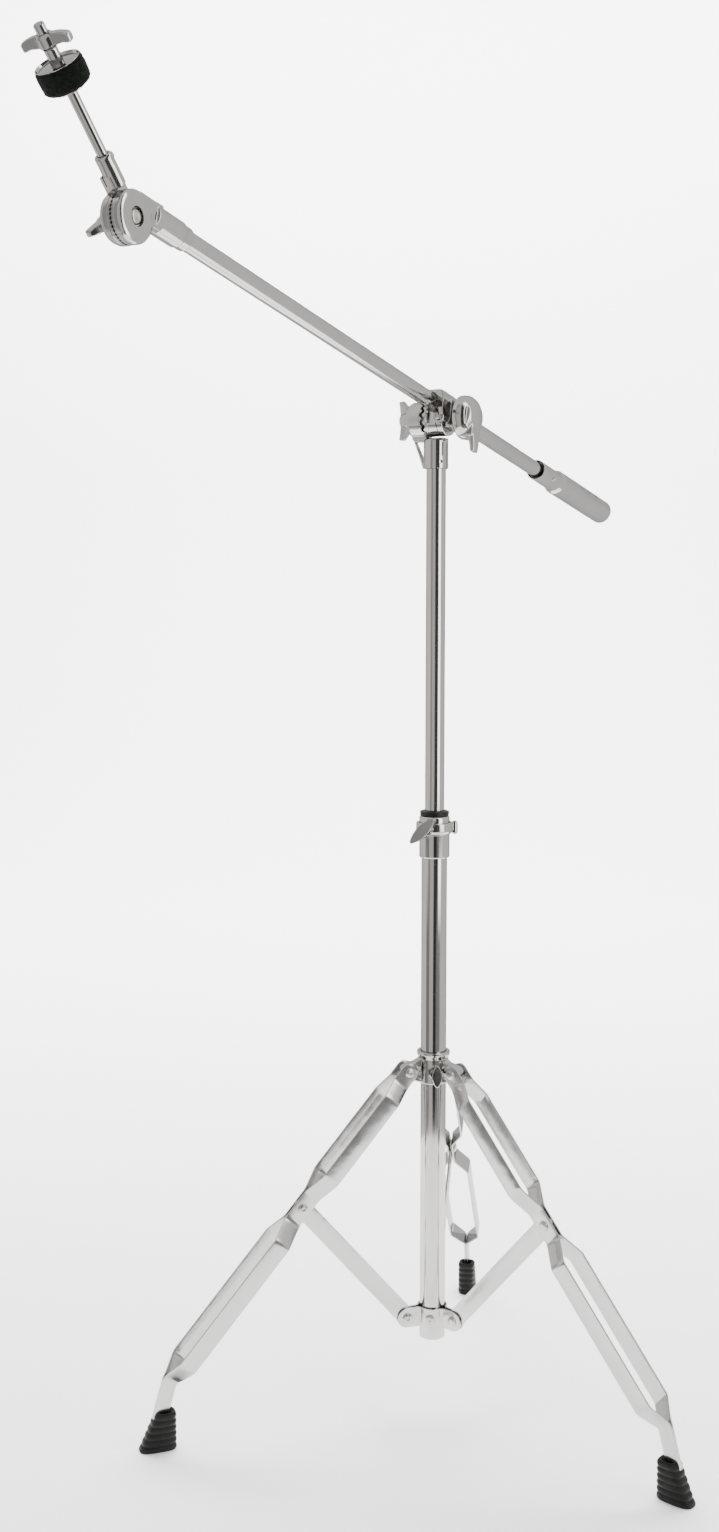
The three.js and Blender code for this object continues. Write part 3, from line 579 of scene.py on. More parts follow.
def make_hub_plate(leg):
    """One pressed plate: an ear beside a brace, a wrap round a third of the tube, and the next ear."""
    wrap, foot, ear_end, rim = (HUB_PLATE[key] for key in ("wrap", "foot", "ear_end", "half_width"))
    beside, steps = STRAP["thickness"] + GAP, 110
    lap = degrees(asin(beside / wrap))
    turn = Matrix.Rotation(radians(120), 2)
    path = [(ear_end, beside), (foot, beside), *arc(0, 0, wrap, lap + 10, 110 - lap, 16)]
    path += [turn @ Vector((foot, -beside)), turn @ Vector((ear_end, -beside))]
    smooth = [Vector(p) for p in rounded(path, HUB_PLATE["bend"], 5, closed=False)]
    lengths = [0.0]
    for a, b in zip(smooth, smooth[1:]):
        lengths.append(lengths[-1] + (b - a).length)
    total = lengths[-1]
    stations = []
    for s in [0.05, *(total * i / steps for i in range(1, steps)), total - 0.05]:
        i = next(k for k in range(1, len(lengths)) if s <= lengths[k] + 1e-6)
        part = (s - lengths[i - 1]) / (lengths[i] - lengths[i - 1])
        point = smooth[i - 1].lerp(smooth[i], part)
        ahead = (smooth[i] - smooth[i - 1]).normalized()
        past = max(rim - min(s, total - s), 0)
        half = sqrt(max(rim * rim - past * past, 0.2))
        stations.append((Vector((point.x, point.y, 0)), Vector((-ahead.y, ahead.x, 0)), Z, half))
    stand_for(f"hub_plate_{leg}", strip(stations, 0.5), moved(leg_frame(leg), 0, 0, HUB_HEIGHT),
              PLATE_CHROME, 30)


def make_foot(leg):
    """A moulded boot: a beaded mouth round the tang, bellows ribs that step outwards, and a rolled sole."""
    tang_end, _ = leg_centre(STRAP["tang"] + STRAP["tang_length"])
    top, ribs, sides, power = FOOT["top"], FOOT["ribs"], FOOT["sides"], 2 / FOOT["squareness"]
    sections = []

    def ring(z, grow):
        drop = (top - z) / top
        centre = tang_end.x - 6.4 + 8.4 * drop
        half_long = 10.0 + 8.6 * drop + grow
        half_wide = FOOT["half_width"] - 0.9 + 0.6 * drop + grow
        points = []
        for k in range(sides):
            c, s = cos(2 * pi * k / sides), sin(2 * pi * k / sides)
            x = half_long * copysign(abs(c) ** power, c)
            y = half_wide * copysign(abs(s) ** power, s)
            points.append(Vector((centre + x, y, z)))
        sections.append(points)

    for z, grow in ((top - 4.0, -5.2), (top - 1.2, -4.2), (top - 0.2, -3.2), (top, -2.0)):
        ring(z, grow)
    steps = 8
    for rib in range(ribs):
        for i in range(steps):
            s = (i + 0.5) / steps
            bulge = sin(pi * s) ** 0.45
            if rib == ribs - 1 and s > 0.5:
                bulge = 1 - max(s - 0.75, 0) * 1.6
            ring(top - (rib + s) * top / ribs, -1.9 + 1.9 * bulge)
    ring(0.25, -1.6)
    ring(0.0, -2.6)
    stand_for(f"rubber_foot_{leg}", loft(sections), leg_frame(leg), RUBBER, 60)


for leg in LEGS:
    make_strap(leg, "a", 1)
    make_strap(leg, "b", -1)
    make_brace(leg)
    make_rivets(leg)
    make_hub_plate(leg)
    make_foot(leg)


# ---- mast ----
def pipe_outline(tube):
    return [(tube["bore"], tube["bottom"]), (tube["radius"], tube["bottom"]), (tube["radius"], tube["top"]),
            (tube["bore"], tube["top"])]


def make_leg_collar():
    """Cast collar: flared rim, webbed arms with lugs, and the fluted boss of the wing bolt."""
    shells = [lathe([(11.5, -13), (15.2, -13), (15.2, 9), (14.9, 12), (16.4, 15.5), (16.6, 18.4), (15.6, 19),
                     (11.5, 19)], 72, 0.3)]
    side = [(12.5, -12), (17, -11.5), *arc(PIVOT_RADIUS, 0, 7.3, -80, 80, 8), (20, 9), (12.5, 13)]
    web = [(12.5, -12), (18, -11.0), (PIVOT_RADIUS, -7.2), (PIVOT_RADIUS, -5.2), (18, -8.5), (12.5, -9)]
    for leg in LEGS:
        outward = MAST.inverted() @ leg_frame(leg)
        shells += [placed(slab(outline, -half, half), outward)
                   for outline, half in ((side, 4.6), (web, LUG_HALF - 0.05))]
        lug = drum(7.3, -LUG_HALF, LUG_HALF, 40, ALONG_Y, edge=0.2)
        shells.append(placed(lug, moved(outward, PIVOT_RADIUS)))
    place = moved(MAST, 0, 0, LUG_HEIGHT)
    boss = lathe([(0, 12), (6.2, 12), (5.7, 22.8), (0, 22.8)], 40, 0.3, ALONG_X)
    shells.append(placed(boss, place.inverted() @ radial_frame("collar_bolt_turn")))
    stand_for("leg_collar", cast(shells, [drum(13.0, -20, 30, 72)], 0.45, 5), place, CAST_CHROME)


def wing_bolt(seat, span, breadth):
    """A round hub with a lens-shaped bar across it, along X."""
    hub = lathe([(0, seat), (5.6, seat), (5.3, seat + 4.6), (4.0, seat + 6.8), (0, seat + 7.2)],
                48, 0.6, ALONG_X)
    side = [(span / 2 * k / 10, breadth * (0.14 + 0.46 * (1 - (k / 10) ** 2))) for k in range(-10, 11)]
    bar = slab([(b, -a) for a, b in side] + [(-b, -a) for a, b in reversed(side)],
               seat + 2.4, seat + 9.0, "YZ")
    shank = drum(3.0, seat - 8.6, seat + 2.0, 32, ALONG_X)
    return cast([hub, bar, shank], (), 0.32, 6)


def make_height_clamp():
    """Pressed socket, nylon ring, hinged band with its pin, and the slanting wing bolt."""
    bolt_at = radial_frame("height_bolt_turn")
    toward_bolt = MAST.inverted() @ bolt_at @ ALONG_X
    bolt_hole = drum(3.3, 9, 30, 32, toward_bolt)
    socket = lathe([(13.0, 563), (14.6, 563, 0.6), (15.0, 564.2, 0.6), (15.0, 585.8, 0.3),
                    (15.9, 586.4, 0.3), (15.9, 586.8, 0.2), (15.0, 587.0, 0.1), (15.0, 602.6, 0.8),
                    (13.7, 604, 0.5), (13.0, 604, 0.2)], 96, 0.5)
    stand_for("height_clamp_socket", carved(socket, bolt_hole), MAST, MAST_CHROME)
    bush = lathe([(9.8, 560), (10.7, 560), (10.7, 604.3, 0.1), (14.3, 604.3, 0.4), (14.4, 608.6, 0.7),
                  (12.6, 609.2, 0.3), (11.4, 609.6, 0.3), (9.8, 609.6, 0.3)], 96, 0.3)
    stand_for("nylon_bush", bush, MAST, NYLON)
    ring = lathe([(15.3, 587.1), (16.8, 587.1, 0.4), (18.2, 589.6, 0.6), (18.2, 597.2, 0.7),
                  (17.4, 597.9, 0.4), (15.3, 597.9)], 96, 0.4)
    boss = lathe([(0, 15.6), (5.4, 15.6), (5.2, 23.9), (0, 23.9)], 40, 0.3, toward_bolt)
    ears = slab([(15.6, -3.1), (20, -3.1), *arc(20, 0, 3.0, -80, 80, 8), (20, 3.1), (15.6, 3.1)],
                587.2, 597.8, "XY")
    band = cast([ring, boss, ears], [drum(15.3, 580, 605, 96), box(15, 24, -0.45, 0.45, 580, 605),
                                     drum(1.5, 580, 605, 24, at=(20, 0, 0)), bolt_hole], 0.4, 4)
    stand_for("height_clamp_band", band, MAST, CAST_CHROME)
    pin = lathe([(0, 585.9), (2, 585.9), (2, 586.7), (1.2, 586.8), (1.2, 598.2), (2, 598.3), (2, 599.1),
                 (0, 599.1)], 32, 0.25)
    stand_for("height_clamp_pin", pin, moved(MAST, 20), STEEL)
    stand_for("height_wing_bolt", wing_bolt(24.3, 34.0, 9.5), bolt_at @ spin(-45, "X"), CAST_CHROME)


stand_for("base_tube", lathe(pipe_outline(BASE_TUBE), 96, 0.5), MAST, MAST_CHROME)
stand_for("upper_tube", lathe(pipe_outline(UPPER_TUBE), 96, 0.4), MAST, MAST_CHROME)
make_leg_collar()
stand_for("collar_wing_bolt", wing_bolt(23.3, 21.6, 8.5), radial_frame("collar_bolt_turn"), CAST_CHROME)
make_height_clamp()


# ---- boom holder ----
def toothed_disc(radius, hollow, back, face, teeth, depth, core=6.0):
    """A disc along X whose ring of radial teeth peaks at face and is depth deep. Back is on either side."""
    inward = copysign(depth, back - face)

    def build(bm):
        count = teeth * 4
        rim, ring, floor, rear = [], [], [], []
        for k in range(count):
            a = 2 * pi * k / count
            level = face + inward * (0.0, 0.35, 1.0, 0.65)[k % 4]
            c, s = cos(a), sin(a)
            rim.append(bm.verts.new((level, radius * c, radius * s)))
            ring.append(bm.verts.new((face + (level - face) * 0.6, hollow * c, hollow * s)))
            floor.append(bm.verts.new((face + inward * 1.1, core * c, core * s)))
            rear.append(bm.verts.new((back, radius * c, radius * s)))
        for k in range(count):
            n = (k + 1) % count
            bm.faces.new((rim[k], rim[n], ring[n], ring[k]))
            bm.faces.new((ring[k], ring[n], floor[n], floor[k]))
            bm.faces.new((rear[k], rear[n], rim[n], rim[k]))
        bm.faces.new(floor)
        bm.faces.new(rear)
    return new_mesh(build)


def make_boom_holder():
    """The fixed half: toothed disc, dished back, gusset with its window, and the slotted socket."""
    left, gap, radius = RATCHET["left"], RATCHET["gap"], RATCHET["radius"]
    bottom, shelf = -47.0, -17.9
    disc = lathe([(0, left), (12.5, left, 1.2), (15.6, left + 1.6, 1.2), (17.0, left + 4.5, 0.8),
                  (17.0, gap - 2.4), (0, gap - 2.4)], 72, 0.4, ALONG_X)
    socket = lathe([(0, bottom), (11.6, bottom), (11.6, shelf - 3), (11.2, shelf - 1.2), (0, shelf - 1.2)],
                   72, 0.5)
    bridge = slab([(left + 1.2, -6), (gap - 0.6, -6), (gap - 0.6, shelf), (10.3, shelf), (10.3, -21),
                   (left + 4, -19.5)], -6.2, 6.2)
    web = slab([(left + 1.4, -14), (-10, -14), (-10.6, bottom + 0.2), (-13.2, bottom + 0.4),
                (-15.6, bottom + 8)], -3.4, 3.4)
    window = rounded([(-22.4, -20.8), (-12.0, -21.4), (-12.0, bottom + 5), (-13.0, bottom + 6.5)], 0.8, 3)
    bore = drum(UPPER_TUBE["radius"] + GAP, bottom - 2, shelf - 5.5, 72)
    slit = box(8, 13.5, -0.6, 0.6, bottom - 1, -23)
    key_hole = placed(drum(1.7, 8, 14, 24, ALONG_X, (0, 0, bottom + 6.5)), spin(-38, "Z"))
    stud_hole = drum(BOLT_HOLE, -45, 0, 32, ALONG_X)
    body = cast([disc, socket, bridge, web], [slab(window, -9, 9), bore, slit, key_hole, stud_hole], 0.45, 5)
    teeth = toothed_disc(radius - 0.15, 12.5, gap - 4.0, gap - GAP, RATCHET["teeth"], RATCHET["depth"])
    stand_for("boom_holder", merged(body, teeth), HOLDER, CAST_CHROME, 34)


def wing_nut(seat, far, hub, reach, sweep, bore=BOLT_HOLE):
    """A cast wing nut that faces along -X: a turned hub and two tapered blades swept away from the seat."""
    blade, width = 5, 8
    body = lathe([(0, 0), (hub, 0), (hub, far * 0.3), (hub * 0.86, far * 0.7), (hub * 0.66, far), (0, far)],
                 56, 0.8)
    blades = []
    for sign in (1, -1):
        outline = rounded([(0, 0.9), (hub * 1.02, 0.6), (reach * 0.86, far * 0.42 + sweep * 0.7),
                           (reach, far * 0.55 + sweep), (reach - 0.4, far * 0.55 + sweep + blade),
                           (reach * 0.8, far * 0.62 + sweep + blade * 0.62), (hub * 0.8, far * 0.96),
                           (0, far * 0.96)], 1.0, 3)
        sections = []
        for share in (-1, -0.92, -0.6, 0, 0.6, 0.92, 1):
            y, shrink = width / 2 * share, 1 - 0.05 * abs(share) ** 6
            sections.append([Vector((sign * a * shrink, y * (1 - 0.35 * min(a / reach, 1) ** 2), b))
                             for a, b in outline])
        blades.append(loft(sections))
    nut = cast([body, *blades], [drum(bore, -3, far + 3, 32)], 0.34, 6)
    return placed(nut, Matrix.Translation((seat, 0, 0)) @ spin(180, "Z") @ ALONG_X)


def make_clamp_block():
    """The moving half: toothed disc, the block under the boom, and the barrel round the tilt axis."""
    gap, radius, face = RATCHET["gap"], RATCHET["radius"], 13.9
    disc = lathe([(0, gap + 2.2), (radius - 0.3, gap + 2.2), (radius - 0.3, gap + 4),
                  (radius - 2.6, gap + 5.4, 1.0), (0, gap + 5.4)], 72, 0.4, ALONG_X)
    body = slab(rounded([(gap + 4, -10.4), (face, -10.4), (face, 8.9), (gap + 4, 8.9)], 1.6, 4), -11.9, 11.9)
    barrel = lathe([(0, gap + 4.6), (BARREL, gap + 4.6, 0.8), (BARREL, face, 0.8), (0, face)],
                   96, 0.6, ALONG_X)
    barrel = carved(barrel, box(gap, face + 1, -20, 20, -7.6, 20))
    saddle = drum(BOOM_HOLE, -22, 22, 72, ALONG_Y, BOOM_AT)
    pocket = drum(4.3, -16, -11.2, 40, ALONG_Y, (8, 0, -1))
    kerf = lathe([(15.2, 7.2), (17.5, 7.2), (17.5, 8.3), (15.2, 8.3)], 96, 0.0, ALONG_X)
    cutters = [saddle, drum(BOLT_HOLE, -20, 20, 32, ALONG_X), pocket, kerf,
               drum(2.3, -14, -6, 24, ALONG_Y, (8, 0, -1))]
    body = cast([disc, body, barrel], cutters, 0.42, 5)
    teeth = toothed_disc(radius - 0.4, 12.5, gap + 4.0, gap, RATCHET["teeth"], RATCHET["depth"])
    stand_for("boom_clamp_block", merged(body, teeth), CLAMP, CAST_CHROME, 34)


def make_hook_strap():
    """The hook: a claw rolled over the boom towards the cymbal, its skirt, and the thick body by the nut."""
    front, back, face, end = (HOOK[key] for key in ("front", "back", "face", "end"))
    side, _, height = BOOM_AT
    claw = slab(arc(side, height, BOOM_HOLE, 0, 126, 30)
                + arc(side, height, BOOM_HOLE + HOOK["thickness"], 127, 0, 30), front, back)
    skirt = slab(rounded([(face - 1.9, 12), (face, 8), (face, -6.4), (face + 2.4, -7.4), (19.0, -3.4),
                          (19.0, 12)], 1.6, 4), front, back)
    block = slab(rounded([(face, -10.8), (end - 1, -10.8), (end, -9), (end, 10), (end - 4, 15), (face, 18)],
                         1.8, 4), -back, back)
    taper = slab([(-30, 20.0), (-24, 21.4), (-3, 26.1), (-3, 40), (-30, 40)], -20, 20, "YZ")
    point = slab([(-30, -12), (-13, -12), (-21, -2), (-24.2, 4), (-30, 4)], 0, 30, "YZ")
    holes = [drum(BOLT_HOLE, 10, 30, 32, ALONG_X), drum(BOOM_HOLE, -30, 20, 80, ALONG_Y, BOOM_AT)]
    body = cast([carved(claw, taper), carved(skirt, point), block], holes, 0.42, 5)
    stand_for("hook_strap", body, CLAMP, CAST_CHROME, 34)


def make_clamp_screws():
    stud = lathe([(0, -39.8), (2.5, -39.8), (2.8, -39.2), (2.8, 37.4), (0, 37.4)], 40, 0.2, ALONG_X)
    stand_for("clamp_stud", stud, CLAMP, STEEL)
    screw = lathe([(0, -14.0), (1.2, -14.2), (1.6, -15.3, 0.3), (2.9, -15.0, 0.8), (3.8, -13.6, 0.4),
                   (3.8, -12.3), (2, -12.3), (2, -6.6), (0, -6.6)], 48, 0.3, ALONG_Y)
    stand_for("clamp_screw", screw, moved(CLAMP, 8, 0, -1), STEEL)


def make_hood_nut():
    """The big boom nut: a bulbous hood with a ledge below, grooves beside its face, and one long prong."""
    dome = lathe([(0, 0), (18.3, 0, 0.8), (20.7, 2, 1.2), (20.9, 6, 3.0), (19.9, 10.5, 3.0),
                  (16.9, 14.5, 4.0), (11.4, 18, 4.0), (5, 19.5, 2.0), (0, 19.9)], 96, 0.6)
    ledge = slab(rounded([(11.5, 2), (19.6, 2), (20.2, 18.4), (12.0, 18.4)], 2.0, 4), -8.6, 8.6)
    sections = []
    for down, centre, deep, wide in ((8, 14.0, 8.4, 8.2), (14, 14.8, 8.2, 7.8), (20, 16.0, 7.2, 6.8),
                                     (27, 17.4, 5.8, 5.6), (33.8, 18.0, 4.8, 4.6)):
        ring = rounded([(-deep / 2, -wide), (deep / 2, -wide), (deep / 2, wide), (-deep / 2, wide)], 2.0, 4)
        sections.append([Vector((down, w, centre + d)) for d, w in ring])
    groove = rounded([(-6.0, 13.4), (11.2, 13.4), (11.2, 16.6), (-6.0, 16.6)], 1.8, 4)
    dome = carved(dome, slab(groove, -24.0, -13.6), slab(groove, 13.6, 24.0))
    nut = cast([dome, ledge, loft(sections)], [drum(BOLT_HOLE, -2, 14, 32)], 0.46, 6)
    stand_for("clamp_wing_nut", placed(nut, ALONG_X), moved(CLAMP, HOOK["end"] + 0.5), CAST_CHROME)


make_boom_holder()
stand_for("tilt_wing_nut", wing_nut(RATCHET["left"] - GAP, 11, 8.5, 19, 2), HOLDER, CAST_CHROME)
make_clamp_block()
make_hook_strap()
make_clamp_screws()
make_hood_nut()


# ---- boom and counterweight ----
def make_counterweight():
    """A turned weight: counterbored neck, shoulder, three short milled marks and a domed end."""
    outline = [(0, 400), (5.0, 400, 1.5), (9.6, 397.6, 4.0), (13, 391, 3.5), (13, 263.2, 0.8),
               (10.7, 259.2, 0.8), (10.7, 214, 0.5), (9.9, 214, 0.2), (9.9, 221, 0.2),
               (BOOM_HOLE, 221.4, 0.2), (BOOM_HOLE, 344, 0.3), (0, 344)]
    screw_at = Matrix.Translation((0, 240, 0)) @ spin(20, "Y")
    dash = rounded([(-4.6, -0.7), (4.6, -0.7), (4.6, 0.7), (-4.6, 0.7)], 0.6, 3)
    marks = [placed(slab(dash, 12.25, 15, "XY"), Matrix.Translation((0, along, 0)) @ spin(52, "Y"))
             for along in (310, 330, 349)]
    body = carved(lathe(outline, 112, 0.6, ALONG_Y), placed(drum(2.7, 6, 16, 32, ALONG_X), screw_at), *marks)
    stand_for("counterweight", body, BOOM, BOOM_CHROME, 30)
    screw = lathe([(0, 8.4), (2.5, 8.4), (2.5, 11.6, 0.3), (1.5, 12.2, 0.4), (1.0, 11.6, 0.2), (0, 11.4)],
                  36, 0.2, ALONG_X)
    stand_for("counterweight_screw", placed(screw, screw_at), BOOM, STEEL)


stand_for("boom_tube", lathe(pipe_outline(BOOM_TUBE), 96, 0.4, ALONG_Y), BOOM, BOOM_CHROME)
make_counterweight()


# ---- tilter ----
def make_tilter_boom_half():
    """Front disc with its bolt recess, the neck block, and the stepped sleeve on the boom."""
    radius, front, gap, drop = TILT["radius"], TILT["front"], TILT["gap"], TILT["drop"]
    disc = lathe([(0, gap + 2.2), (radius, gap + 2.2), (radius, front - 2.6, 0.8),
                  (radius - 1.1, front - 0.8, 0.7), (radius - 3.2, front, 0.5), (0, front)],
                 88, 0.4, ALONG_X)
    neck = box(gap + 0.6, front - 0.2, 0, 26, -0.2, radius - 0.6)
    cheek = slab(rounded([(-9.6, -0.2), (front - 0.2, -0.2), (front - 0.2, drop + 10), (-9.6, drop + 10)],
                         2.0, 4), radius + 1.4, 28)
    sleeve = lathe([(0, radius + 2.2), (10.4, radius + 2.2), (10.4, 54.4), (0, 54.4)], 72, 0.6, ALONG_Y)
    band = lathe([(0, 53), (9.4, 53), (9.4, 64.6), (0, 64.6)], 72, 0.6, ALONG_Y)
    ridge = lathe([(0, 50.6), (10.4, 50.6), (10.4, 55), (0, 55)], 72, 0.5, ALONG_Y)
    turned = [placed(mesh, Matrix.Translation((0, 0, drop))) for mesh in (sleeve, band, ridge)]
    bore = drum(BOOM_HOLE, 25, 80, 72, ALONG_Y, (0, 0, drop))
    recess = drum(7.2, front - 4.4, front + 2, 64, ALONG_X)
    body = cast([disc, neck, cheek, *turned], [bore, recess, drum(3.3, -8, front, 32, ALONG_X)], 0.42, 4)
    teeth = toothed_disc(radius - 0.2, 14.0, gap + 4.0, gap, **TILT_TEETH)
    stand_for("tilter_boom_half", merged(body, teeth), TILTER, CAST_CHROME, 34)


def make_tilter_rod_half():
    """Back disc with its step, the arm, and the split sleeve of the rod."""
    radius, back = TILT["radius"], TILT["back"]
    near, rod_at = TILT["gap"] - 0.4, Matrix.Translation((-4, 9, 0))
    disc = lathe([(0, back), (radius - 3.6, back, 0.6), (radius - 1.6, back + 1.0, 0.6),
                  (radius - 0.9, back + 2.6, 0.4), (radius - 1.3, back + 3.2, 0.3),
                  (radius - 0.1, back + 4.0, 0.4), (radius, near - 2.4), (0, near - 2.4)], 88, 0.4, ALONG_X)
    arm = slab(rounded([(back + 2, 7), (near - 0.3, 7), (near - 0.3, 31.6), (back + 2, 31.6)], 1.6, 4),
               2.2, 15.6)
    sleeve = lathe([(0, 20.6), (6.7, 20.6), (6.7, 43.6), (6.0, 44.9), (0, 44.9)], 64, 0.5, rod_at)
    rod = drum(ROD_HOLE, 23, 50, 56, rod_at)
    slit = placed(box(-0.5, 0.5, 3.6, 8, 24, 46), rod_at @ spin(150, "Z"))
    screw = drum(1.9, 10, 30, 24, ALONG_Y, (-4, 0, 40))
    body = cast([disc, arm, sleeve], [rod, slit, screw, drum(3.3, -20, 2, 32, ALONG_X)], 0.42, 4)
    teeth = toothed_disc(radius - 0.2, 14.0, near - 3.5, near, **TILT_TEETH)
    stand_for("tilter_rod_half", merged(body, teeth), ROD_HALF, CAST_CHROME, 34)


def make_tilter_hardware():
    front, back = TILT["front"], TILT["back"]
    head = lathe([(0, front - 4.1), (5.4, front - 4.1), (5.6, front - 2.2, 0.6), (4.6, front - 0.6, 0.8),
                  (2.6, front - 0.5, 0.5), (0, front - 0.6)], 56, 0.4, ALONG_X)
    shank = drum(2.95, back - 15, front - 3.6, 40, ALONG_X, edge=0.3)
    stand_for("tilter_bolt", cast([head, shank], (), 0.3, 3), TILTER, STEEL)
    stand_for("tilter_wing_nut", wing_nut(back - GAP, 11, 7.5, 20, 3, 3.3), TILTER @ spin(140, "X"),
              CAST_CHROME)
    screw = lathe([(0, 4.5), (1.6, 4.5), (1.6, 7), (2.8, 7.05), (2.7, 8.8, 0.5), (1.3, 9.2, 0.3),
                   (1.0, 8.6, 0.2), (0, 8.5)], 36, 0.2, ALONG_Y)
    stand_for("rod_screw", screw, moved(ROD, 0, 0, 40), STEEL)


# ---- cymbal seat ----
def make_seat():
    """The rod, the washer under the felt, and the shallow cup washer on it."""
    rod = lathe([(0, 24), (3.7, 24), (4.0, 24.4), (4.0, 140.2), (3.4, 141), (0, 141)], 72, 0.3)
    washer = lathe([(4.5, 94.0), (11.2, 94.0), (11.5, 94.4), (11.5, 95.2), (11.2, 95.7), (4.5, 95.7)],
                   72, 0.3)
    cup = lathe([(4.5, 109.8), (8.0, 109.8, 2), (15.6, 110.6, 1.5), (16.5, 112.6, 0.6), (17.0, 113.7, 0.3),
                 (16.3, 113.8, 0.3), (15.5, 111.8, 0.8), (8.0, 110.9, 2), (4.5, 110.8)], 96, 0.2)
    for node, mesh in (("cymbal_rod", rod), ("seat_washer", washer), ("cup_washer", cup)):
        stand_for(node, mesh, ROD, ROD_CHROME)


def make_felt():
    """The pad: barrelled and fluffy, turned with an uneven wall and a soft rim round the cup."""
    bottom, rim, radius, floor = (SEAT[key] for key in ("bottom", "rim", "felt", "floor"))
    outline = [(4.5, bottom + 0.3), (8, bottom, 0.5), (radius - 2.2, bottom + 0.1, 1.6),
               (radius - 0.5, bottom + 2.4, 1.6), (radius - 0.1, (bottom + rim) / 2, 4),
               (radius - 0.3, rim - 2.2, 1.4), (radius - 1.0, rim - 0.2, 0.6), (17.25, rim, 0.3),
               (17.2, rim - 1.0, 0.2), (16.2, floor + 0.5, 0.5), (8, floor, 0.5), (4.5, floor)]
    mesh = lathe(dense(outline, 0.8), 180, 0.0)
    for vertex in mesh.vertices:
        at = vertex.co
        out = hypot(at.x, at.y)
        if out > 10:
            fibres = solid_noise.noise(at * 1.3) * 0.22 + solid_noise.noise(at * 0.35) * 0.3
            vertex.co += Vector((at.x, at.y, 0)) / out * (fibres - 0.25)
    pad = stand_for("felt_pad", mesh, ROD, FELT, 80)


def dense(outline, step):
    """The outline with its corners rounded and points added along its straights."""
    soft = [Vector(p) for p in rounded(outline, 0.6)]
    result = []
    for a, b in zip(soft, soft[1:] + soft[:1]):
        count = max(1, round((b - a).length / step))
        result += [tuple(a.lerp(b, k / count)) for k in range(count)]
    return result


def make_cymbal_nut():
    """T-shaped nut: a long sleeve, a hub, and two flat wings that widen and dip at the tips."""
    body = lathe([(0, 0), (4.9, 0), (4.9, 12.6, 1.5), (6.5, 14.6, 0.8), (6.6, 21, 0.8), (5.2, 23, 0.6),
                  (0, 23)], 64, 0.4)
    wings, middle = [], 18
    for sign in (1, -1):
        outline = rounded([(0, 14), (6, 13.8), (14, 14.6), (19.0, 13.4), (20.6, 14.6), (20.4, 19.6),
                           (18.6, 20.8), (13, 22.2), (6, 22.9), (0, 22.9)], 1.4, 3)
        sections = []
        for share in (-1, -0.9, -0.5, 0, 0.5, 0.9, 1):
            edge = abs(share) ** 5
            shorter, thinner = 1 - 0.03 * edge, 1 - 0.12 * edge
            sections.append([Vector((sign * a * shorter, 3.0 * share, middle + (b - middle) * thinner))
                             for a, b in outline])
        wings.append(loft(sections))
    nut = cast([body, *wings], [drum(ROD_HOLE, -2, 26, 48)], 0.34, 6)
    stand_for("cymbal_wing_nut", nut, moved(ROD, 0, 0, SEAT["floor"] + 1.6) @ spin(3, "Z"), CAST_CHROME)


make_tilter_boom_half()
make_tilter_rod_half()
make_tilter_hardware()
make_seat()
make_felt()
make_cymbal_nut()


# ---- studio ----
def sweep_paper():
    """Matt white background paper with a faint pulp grain."""
    material, tree, bsdf = shader("pale_sweep", (0.93, 0.93, 0.93), 0.0, 0.9)
    pulp = noise(tree, (30, 30, 30), detail=6)
    tree.links.new(tinted(tree, pulp, (0.925, 0.925, 0.925), (0.94, 0.94, 0.94)), bsdf.inputs["Base Color"])
    bumped(tree, bsdf, (pulp, 0.05, 0.0002))
    return material


def staged(name, verts, faces, material):
    mesh = bpy.data.meshes.new(name)
    mesh.from_pydata(verts, [], faces)
    mesh.shade_smooth()
    mesh.materials.append(material)
    thing = bpy.data.objects.new(name, mesh)
    bpy.context.scene.collection.objects.link(thing)
    return thing


def make_floor():
    """A seamless pale sweep: floor, a wide curve, and a wall behind."""
    middle = (cad_box[0].y + cad_box[1].y) / 2
    near, far, bend = middle - SWEEP["near"], middle + SWEEP["far"], SWEEP["bend"]
    profile = [(near, 0.0), *arc(far - bend, bend, bend, -90, 0, 24), (far, SWEEP["wall"])]
    verts = [(side * SWEEP["half_width"], y, z) for y, z in profile for side in (-1, 1)]
    faces = [(2 * i, 2 * i + 1, 2 * i + 3, 2 * i + 2) for i in range(len(profile) - 1)]
    staged("sweep", verts, faces, sweep_paper())


def math_node(tree, operation, *values):
    node = tree.nodes.new("ShaderNodeMath")
    node.operation = operation
    for socket, value in zip(node.inputs, values):
        if isinstance(value, bpy.types.NodeSocket):
            tree.links.new(value, socket)
        else:
            socket.default_value = value
    return node.outputs[0]


def levels(tree, turn, stops):
    """A slightly warm grey by compass direction, from a table of stops."""
    node = tree.nodes.new("ShaderNodeValToRGB")
    elements = node.color_ramp.elements
    elements.remove(elements[-1])
    for i, (degrees, level) in enumerate(stops):
        element = elements[0] if i == 0 else elements.new(degrees / 360 + 0.5)
        element.position = degrees / 360 + 0.5
        shade = level / BRIGHTEST
        element.color = (shade, shade * 0.985, shade * 0.965, 1)
    tree.links.new(turn, node.inputs["Fac"])
    return node.outputs["Color"]


